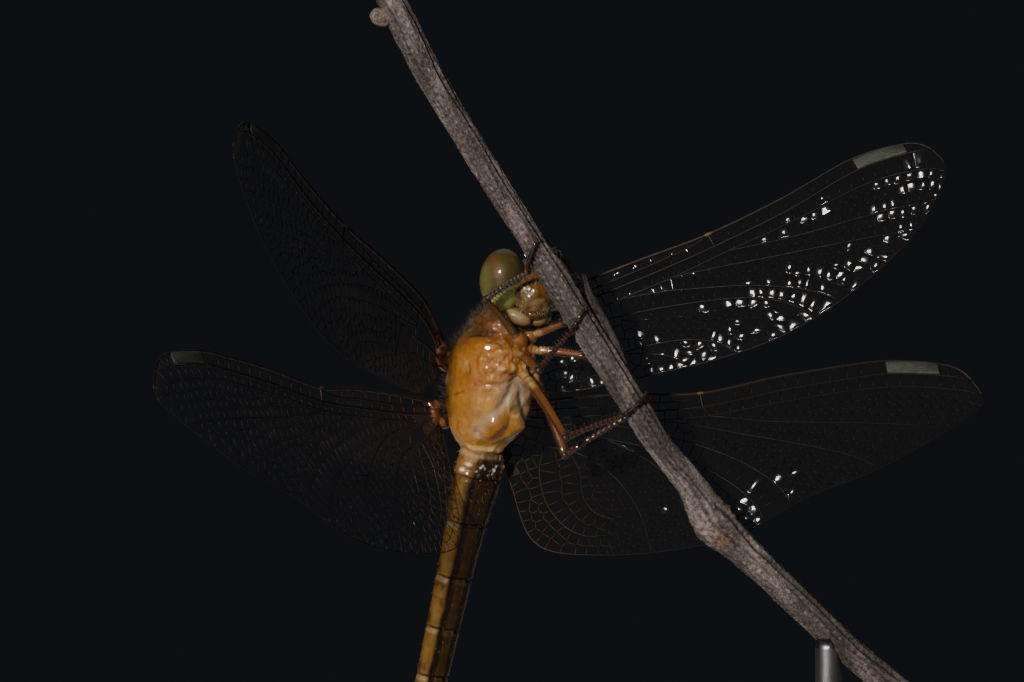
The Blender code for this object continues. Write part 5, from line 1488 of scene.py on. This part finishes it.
def make_twig():
    shape = Shape()
    rows = np.array(PERCH)[::-1]
    count, sides = 760, 84
    line = smooth(rows[:, :3], np.linspace(0, 1, count * 2))
    thick = np.interp(np.linspace(0, 1, count * 2), np.linspace(0, 1, len(rows)), rows[:, 3])
    both = even(np.hstack([line, thick[:, None]]), count)
    path, radii = both[:, :3] + BODY_AT, both[:, 3]
    radii = np.convolve(np.pad(radii, 6, "edge"), np.ones(13) / 13, "valid")
    side, other = frames(path)
    t = angles(sides)
    along = np.concatenate([[0], np.cumsum(np.linalg.norm(np.diff(path, axis=0), axis=1))])
    T, S = np.meshgrid(t, along)
    spin, far = T.ravel(), S.ravel()
    places = np.stack([np.cos(T) * 0.9, np.sin(T) * 0.9, S], 2).reshape(-1, 3)
    turn = spin + 0.12 * np.sin(far * 0.35) + 0.05 * np.sin(far * 1.3)
    draw = np.random.default_rng(5)

    def facing(way):
        """Angle round the twig that looks one way, all along it."""
        way = unit(np.array(way))
        best = np.argmax((side @ way)[:, None] * np.cos(t) + (other @ way)[:, None] * np.sin(t), 1)
        return np.interp(far, along, np.unwrap(t[best]))

    height = 0.028 * ripple(places * (3.2, 3.2, 1.2), 2.4, 32) \
        + 0.026 * ripple(places * (6.5, 6.5, 5.5), 2.4, 33)
    # painted shade is laid into the cracks and pits below
    painted_hollow_shade = np.zeros(len(places))
    for _ in range(26):
        middle, reach = draw.uniform(0, along[-1]), draw.uniform(2.0, 8.0)
        at = draw.uniform(0, 2 * math.pi) + 0.03 * np.sin(far * draw.uniform(0.5, 2))
        d = np.abs(turn_gap(turn, at))
        window = np.exp(-((far - middle) / reach) ** 4)
        height, painted_hollow_shade = fissure(height, painted_hollow_shade, d, window, draw.uniform(0.05, 0.10), 0.08,
                               (0.035, 0.16, 0.08), 0.6)
    # the long open fissure on the near side of the upper half
    at = facing((0.75, -0.65, 0.1)) + 0.08 * np.sin(far * 0.9)
    d = np.abs(turn_gap(spin, at))
    window = np.maximum(ramp(far, along[-1] - 34, along[-1] - 28),
                        ramp(-far, 40 - along[-1], 42 - along[-1]))
    height, painted_hollow_shade = fissure(height, painted_hollow_shade, d, window, 0.10, 0.15, (0.05, 0.26, 0.12), 0.85)
    # knot: lumpy swelling with pits and scars
    knot = along[np.argmin(np.linalg.norm(
        path - (np.array((13.5, -3.3, -8.0)) + BODY_AT), axis=1))]
    window = np.exp(-((far - knot) / 1.5) ** 2)
    height += window * (0.10 * ripple(places * (2, 2, 1.5), 2.0, 34)
                        + 0.05 * ripple(places * (5, 5, 4), 2.0, 35))
    at = facing((0.50, -0.70, 0.50)) + 0.10 * np.sin(far * 1.3)
    d = np.abs(turn_gap(spin, at))
    window = ramp(far, knot - 6.5, knot - 3.5) * ramp(-far, -knot - 1.5, -knot - 0.5)
    height, painted_hollow_shade = fissure(height, painted_hollow_shade, d, window, 0.12, 0.16, (0.05, 0.28, 0.13), 0.9)
    for _ in range(7):
        spot = np.array((draw.uniform(0, 6.28), knot + draw.uniform(-1.6, 1.6)))
        d = np.hypot(turn_gap(spin, spot[0]) * 1.1,
                     far - spot[1])
        height -= 0.14 * np.exp(-(d / 0.17) ** 2)
        painted_hollow_shade = np.maximum(painted_hollow_shade, 0.7 * np.exp(-(d / 0.17) ** 2))
    for _ in range(70):
        spot = np.array((draw.uniform(0, 6.28), draw.uniform(0, along[-1])))
        d = np.hypot(turn_gap(spin, spot[0]) * 0.9,
                     (far - spot[1]) * 0.7)
        height += 0.045 * np.exp(-(d / 0.10) ** 2)
    ring = circle(t, side, other)
    body = path[:, None] + ring * (radii[:, None, None] - 0.02
                                   + height.reshape(count, sides)[..., None])
    points, faces = loft(body)
    colour = bark_tint(places, painted_hollow_shade)
    colour *= (1 - 0.27 * ramp(-far, 3.0 - knot, 9.0 - knot))[:, None]
    d = np.linalg.norm(body.reshape(-1, 3) - BODY_AT - (13.9, -4.3, -9.1), axis=1)
    colour = blend(colour, (0.22, 0.085, 0.035), 0.65 * np.exp(-(d / 0.45) ** 2))
    wood = np.array([(0.40, 0.30, 0.20)] * 2)
    shape.add(points, faces, np.vstack([colour, wood]), 0,
              capped(places))

    # broken side stub: grooved, with a splintered tip
    stub = np.array(((5.85, -3.9, 6.35, .14), (6.15, -3.8, 5.40, .28), (6.85, -3.65, 3.90, .42),
                     (7.60, -3.5, 2.30, .46), (8.25, -3.35, .90, .34)))[::-1]
    line = smooth(stub, np.linspace(0, 1, 120))
    path = line[:, :3] + BODY_AT
    side, other = frames(path)
    t = angles(48)
    T, S = np.meshgrid(t, np.linspace(0, 6, 120))
    spin, far = T.ravel(), S.ravel()
    places = np.stack([np.cos(T) * 0.5, np.sin(T) * 0.5, S + 90], 2).reshape(-1, 3)
    height = 0.020 * ripple(places * (5, 5, 1.2), 2.4, 36)
    crack = np.zeros(len(places))
    for at in (0.4, 1.9, 3.3, 4.9):
        d = np.abs((spin - at + 0.15 * np.sin(far * 1.7) + math.pi) % (2 * math.pi)
                   - math.pi)
        crack = np.maximum(crack, np.exp(-(d / 0.16) ** 2))
    height -= 0.05 * crack
    ring = circle(t, side, other)
    body = path[:, None] + ring * (line[:, 3][:, None, None] + height.reshape(120, 48)[..., None])
    jag = 0.35 * np.abs(np.sin(t * 2.5 + 0.4)) + 0.25 * np.sin(t * 5)
    ahead = unit(path[-1] - path[-4])
    body[-14:] += (np.linspace(0, 1, 14)[:, None] ** 2 * jag[None])[..., None] * ahead
    points, faces = loft(body)
    # painted shadow: the whole stub is darkened to 0.6, as if in the twig's shadow; its cracks get
    # painted shade
    colour = bark_tint(places, 0.6 * crack) * 0.6
    shape.add(points, faces, capped(colour), 0, capped(places))
    # bud scale at the top
    rings = radial((((0, 0, 0), (0.72, 0.50, 0.58)), ((0.35, 0.0, 0.45), (0.35, 0.30, 0.35))),
                   0.15, (0, 0, 0), 40, 56, 1.6)
    p = rings.reshape(-1, 3)
    lift = 0.04 * ripple(p, 5.0, 41) + 0.02 * ripple(p, 11.0, 42)
    p = p + outward(rings).reshape(-1, 3) * lift[:, None]
    points, faces = loft((p + np.array((-6.25, -7.2, 22.0)) + BODY_AT).reshape(rings.shape))
    # painted shade where the bud scale's surface dips
    colour = bark_tint(p * 2 + 40, 0.5 * ramp(-lift, 0.01, 0.05))
    colour = blend(colour, (0.26, 0.20, 0.16), 0.5)
    shape.add(points, faces, capped(colour), 0, capped(p) + 40)
    shape.build("twig_bark", [BARK], ("twig", "twig_stub", "twig_bud"))


# ---- stand --------------------------------------------------------------------------------
WOOD = mottled("walnut", 0.42, 0.35, 0.75, (0.42, 0.36, 0.30), 1.6, 0.05, 0.06,
               stretch=(0.22, 2.4, 1.0), tint=(0.16, 0.085, 0.045), Coat_Weight=0.25,
               Coat_Roughness=0.2)
STEEL = mottled("blued_steel", 0.36, 2.0, 0.25, (0.7, 0.7, 0.7), 9.0, 0.01, 0.07,
                stretch=(3, 3, 0.3), tint=(0.16, 0.16, 0.17), Metallic=1.0)


ROD_Y = -3.3
ROD_RADIUS = 0.8
TWIG_SINK = 0.92       # share of the twig's radius at which a rod ends
TWIG_LEAN = unit(np.array((4.4, -4.2)))[0]     # sideways share of the twig's run at the rods


def make_stand():
    profile = smooth([(0.0, 21.4), (0.25, 21.75), (0.7, 21.97), (2.0, 22.0), (3.0, 21.97),
                      (3.45, 21.6), (3.6, 21.0), (3.68, 20.7), (3.86, 20.5), (3.97, 20.2),
                      (4.0, 19.4)], np.linspace(0, 1, 60))
    t = angles(160)
    rings = np.stack([profile[:, 1:2] * np.cos(t), profile[:, 1:2] * np.sin(t),
                      np.broadcast_to(profile[:, :1], (60, 160))], 2)
    shape = Shape()
    points, faces = loft(rings)
    shape.add(points, faces)
    shape.build("stand_base_turned", [WOOD], ("stand_base",))
    perch = np.array(PERCH)[:, :4] + (*BODY_AT, 0)
    for name, x in (("stand_rod_inner", 13.4), ("stand_rod_outer", 17.4)):
        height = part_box(name)[1][2] / MM
        shape = Shape()
        z = np.concatenate([(4.0, 4.06, 4.5, 4.58, 4.6), np.linspace(4.8, height, 30)])
        r = np.concatenate([(1.25, 1.32, 1.32, 1.2, ROD_RADIUS), np.full(30, ROD_RADIUS)])
        t = angles(40)
        rings = np.stack([x + r[:, None] * np.cos(t), ROD_Y + r[:, None] * np.sin(t),
                          np.broadcast_to(z[:, None], (len(z), 40))], 2)
        # the top of each rod is cut to the underside of the twig
        centre_z = np.interp(rings[..., 0], perch[:, 0], perch[:, 2])
        reach = np.interp(rings[..., 0], perch[:, 0], perch[:, 3]) * TWIG_SINK
        across = np.sqrt(np.maximum(reach ** 2 - (rings[..., 1] - ROD_Y) ** 2, 0.02))
        rings[..., 2] = np.minimum(rings[..., 2], centre_z - across / TWIG_LEAN)
        shape.add(*loft(rings))
        shape.build(name + "_steel", [STEEL], (name,))


# ---- hair --------------------------------------------------------------------------------
def dress(trunk, trunk_out, head, head_out):
    def upper(p):
        chest = 0.08 + 0.8 * ramp(p[:, 2], -0.3, 1.2)
        neck = 0.35 * ramp(p[:, 0], 2.9, 3.3)
        belly = 0.10 * ramp(-p[:, 2], 2.0, 2.6)
        return np.clip(np.maximum(np.maximum(chest * ramp(p[:, 0], -3.0, -1.0), neck), belly), 0, 1)
    coat("thorax_hair", trunk, trunk_out, 4200, (0.25, 0.90), 0.0040, (0.45, 0, 0.15), upper,
         ((0.105, 0.072, 0.035), (0.065, 0.042, 0.022), (0.20, 0.155, 0.095), (0.04, 0.024, 0.014)),
         301, from_body)

    def brow(p):
        return np.clip(0.8 * ramp(p[:, 0], 0.9, 1.5) * ramp(-p[:, 2], 0.4, 1.3)
                       + 1.0 * ramp(-p[:, 0], 0.5, 0.9)
                       + 0.9 * ramp(p[:, 0], 0.9, 1.2) * ramp(p[:, 2], 0.1, 0.4), 0, 1)
    coat("head_hair", head, head_out, 900, (0.20, 0.42), 0.0075, (0.1, 0, 0.1), brow,
         ((0.05, 0.03, 0.02), (0.35, 0.27, 0.15), (0.50, 0.44, 0.30)), 302, from_head)


# ---- light, floor and camera ----------------------------------------------------------------
def area_light(name, place, target, size, power, colour=(1, 1, 1)):
    lamp = bpy.data.lights.new(name, "AREA")
    lamp.shape, lamp.size, lamp.size_y = "RECTANGLE", size[0], size[1]
    lamp.energy, lamp.color = power, colour
    holder = bpy.data.objects.new(name, lamp)
    bpy.context.scene.collection.objects.link(holder)
    holder.location = place
    holder.rotation_euler = (Vector(target) - Vector(place)).to_track_quat("-Z", "Y").to_euler()


def make_setting():
    mesh = bpy.data.meshes.new("floor")
    radius, sides = 0.235, 128
    ring = [(radius * math.cos(2 * math.pi * k / sides), radius * math.sin(2 * math.pi * k / sides),
             -0.00002) for k in range(sides)]
    mesh.from_pydata(ring, [], [tuple(range(sides))])
    floor = bpy.data.objects.new("floor", mesh)
    bpy.context.scene.collection.objects.link(floor)
    paper = mottled("paper", 0.85, 0.02, 0.08, (0.9, 0.9, 0.9), 0.4, 0.02, 0.02, "position",
                    tint=(0.62, 0.61, 0.595))
    mesh.materials.append(paper)

    world = bpy.data.worlds.new("studio")
    bpy.context.scene.world = world
    world.use_nodes = True
    sky = world.node_tree.nodes["Background"]
    sky.inputs["Color"].default_value = (0.007, 0.008, 0.010, 1)
    sky.inputs["Strength"].default_value = 1.0

    # a small hard key lamp like a flash, with weak fill and back light in a nearly black world
    centre = (-0.002, -0.001, 0.043)
    area_light("key", KEY_AT * MM, centre, (0.046, 0.046), 3.7, (1.0, 0.95, 0.87))
    area_light("fill", (0.30, -0.20, 0.30), centre, (0.40, 0.40), 0.12, (0.95, 0.97, 1.0))
    area_light("back", (0.05, 0.25, 0.46), centre, (0.50, 0.40), 0.18)

    camera = bpy.data.objects.new("camera", bpy.data.cameras.new("camera"))
    bpy.context.scene.collection.objects.link(camera)
    camera.location = CAMERA_AT * MM
    camera.rotation_euler = (math.radians(90), 0, 0)
    camera.data.lens, camera.data.sensor_width = 150.5, 36
    camera.data.clip_start = 0.001
    bpy.context.scene.camera = camera


def main():
    trunk, trunk_out = make_trunk()
    make_abdomen()
    head, head_out = make_head()
    make_legs()
    for seed, name in enumerate(WINGS):
        make_wing(name, seed + 1)
    make_twig()
    make_stand()
    dress(trunk, trunk_out, head, head_out)
    make_setting()


main()
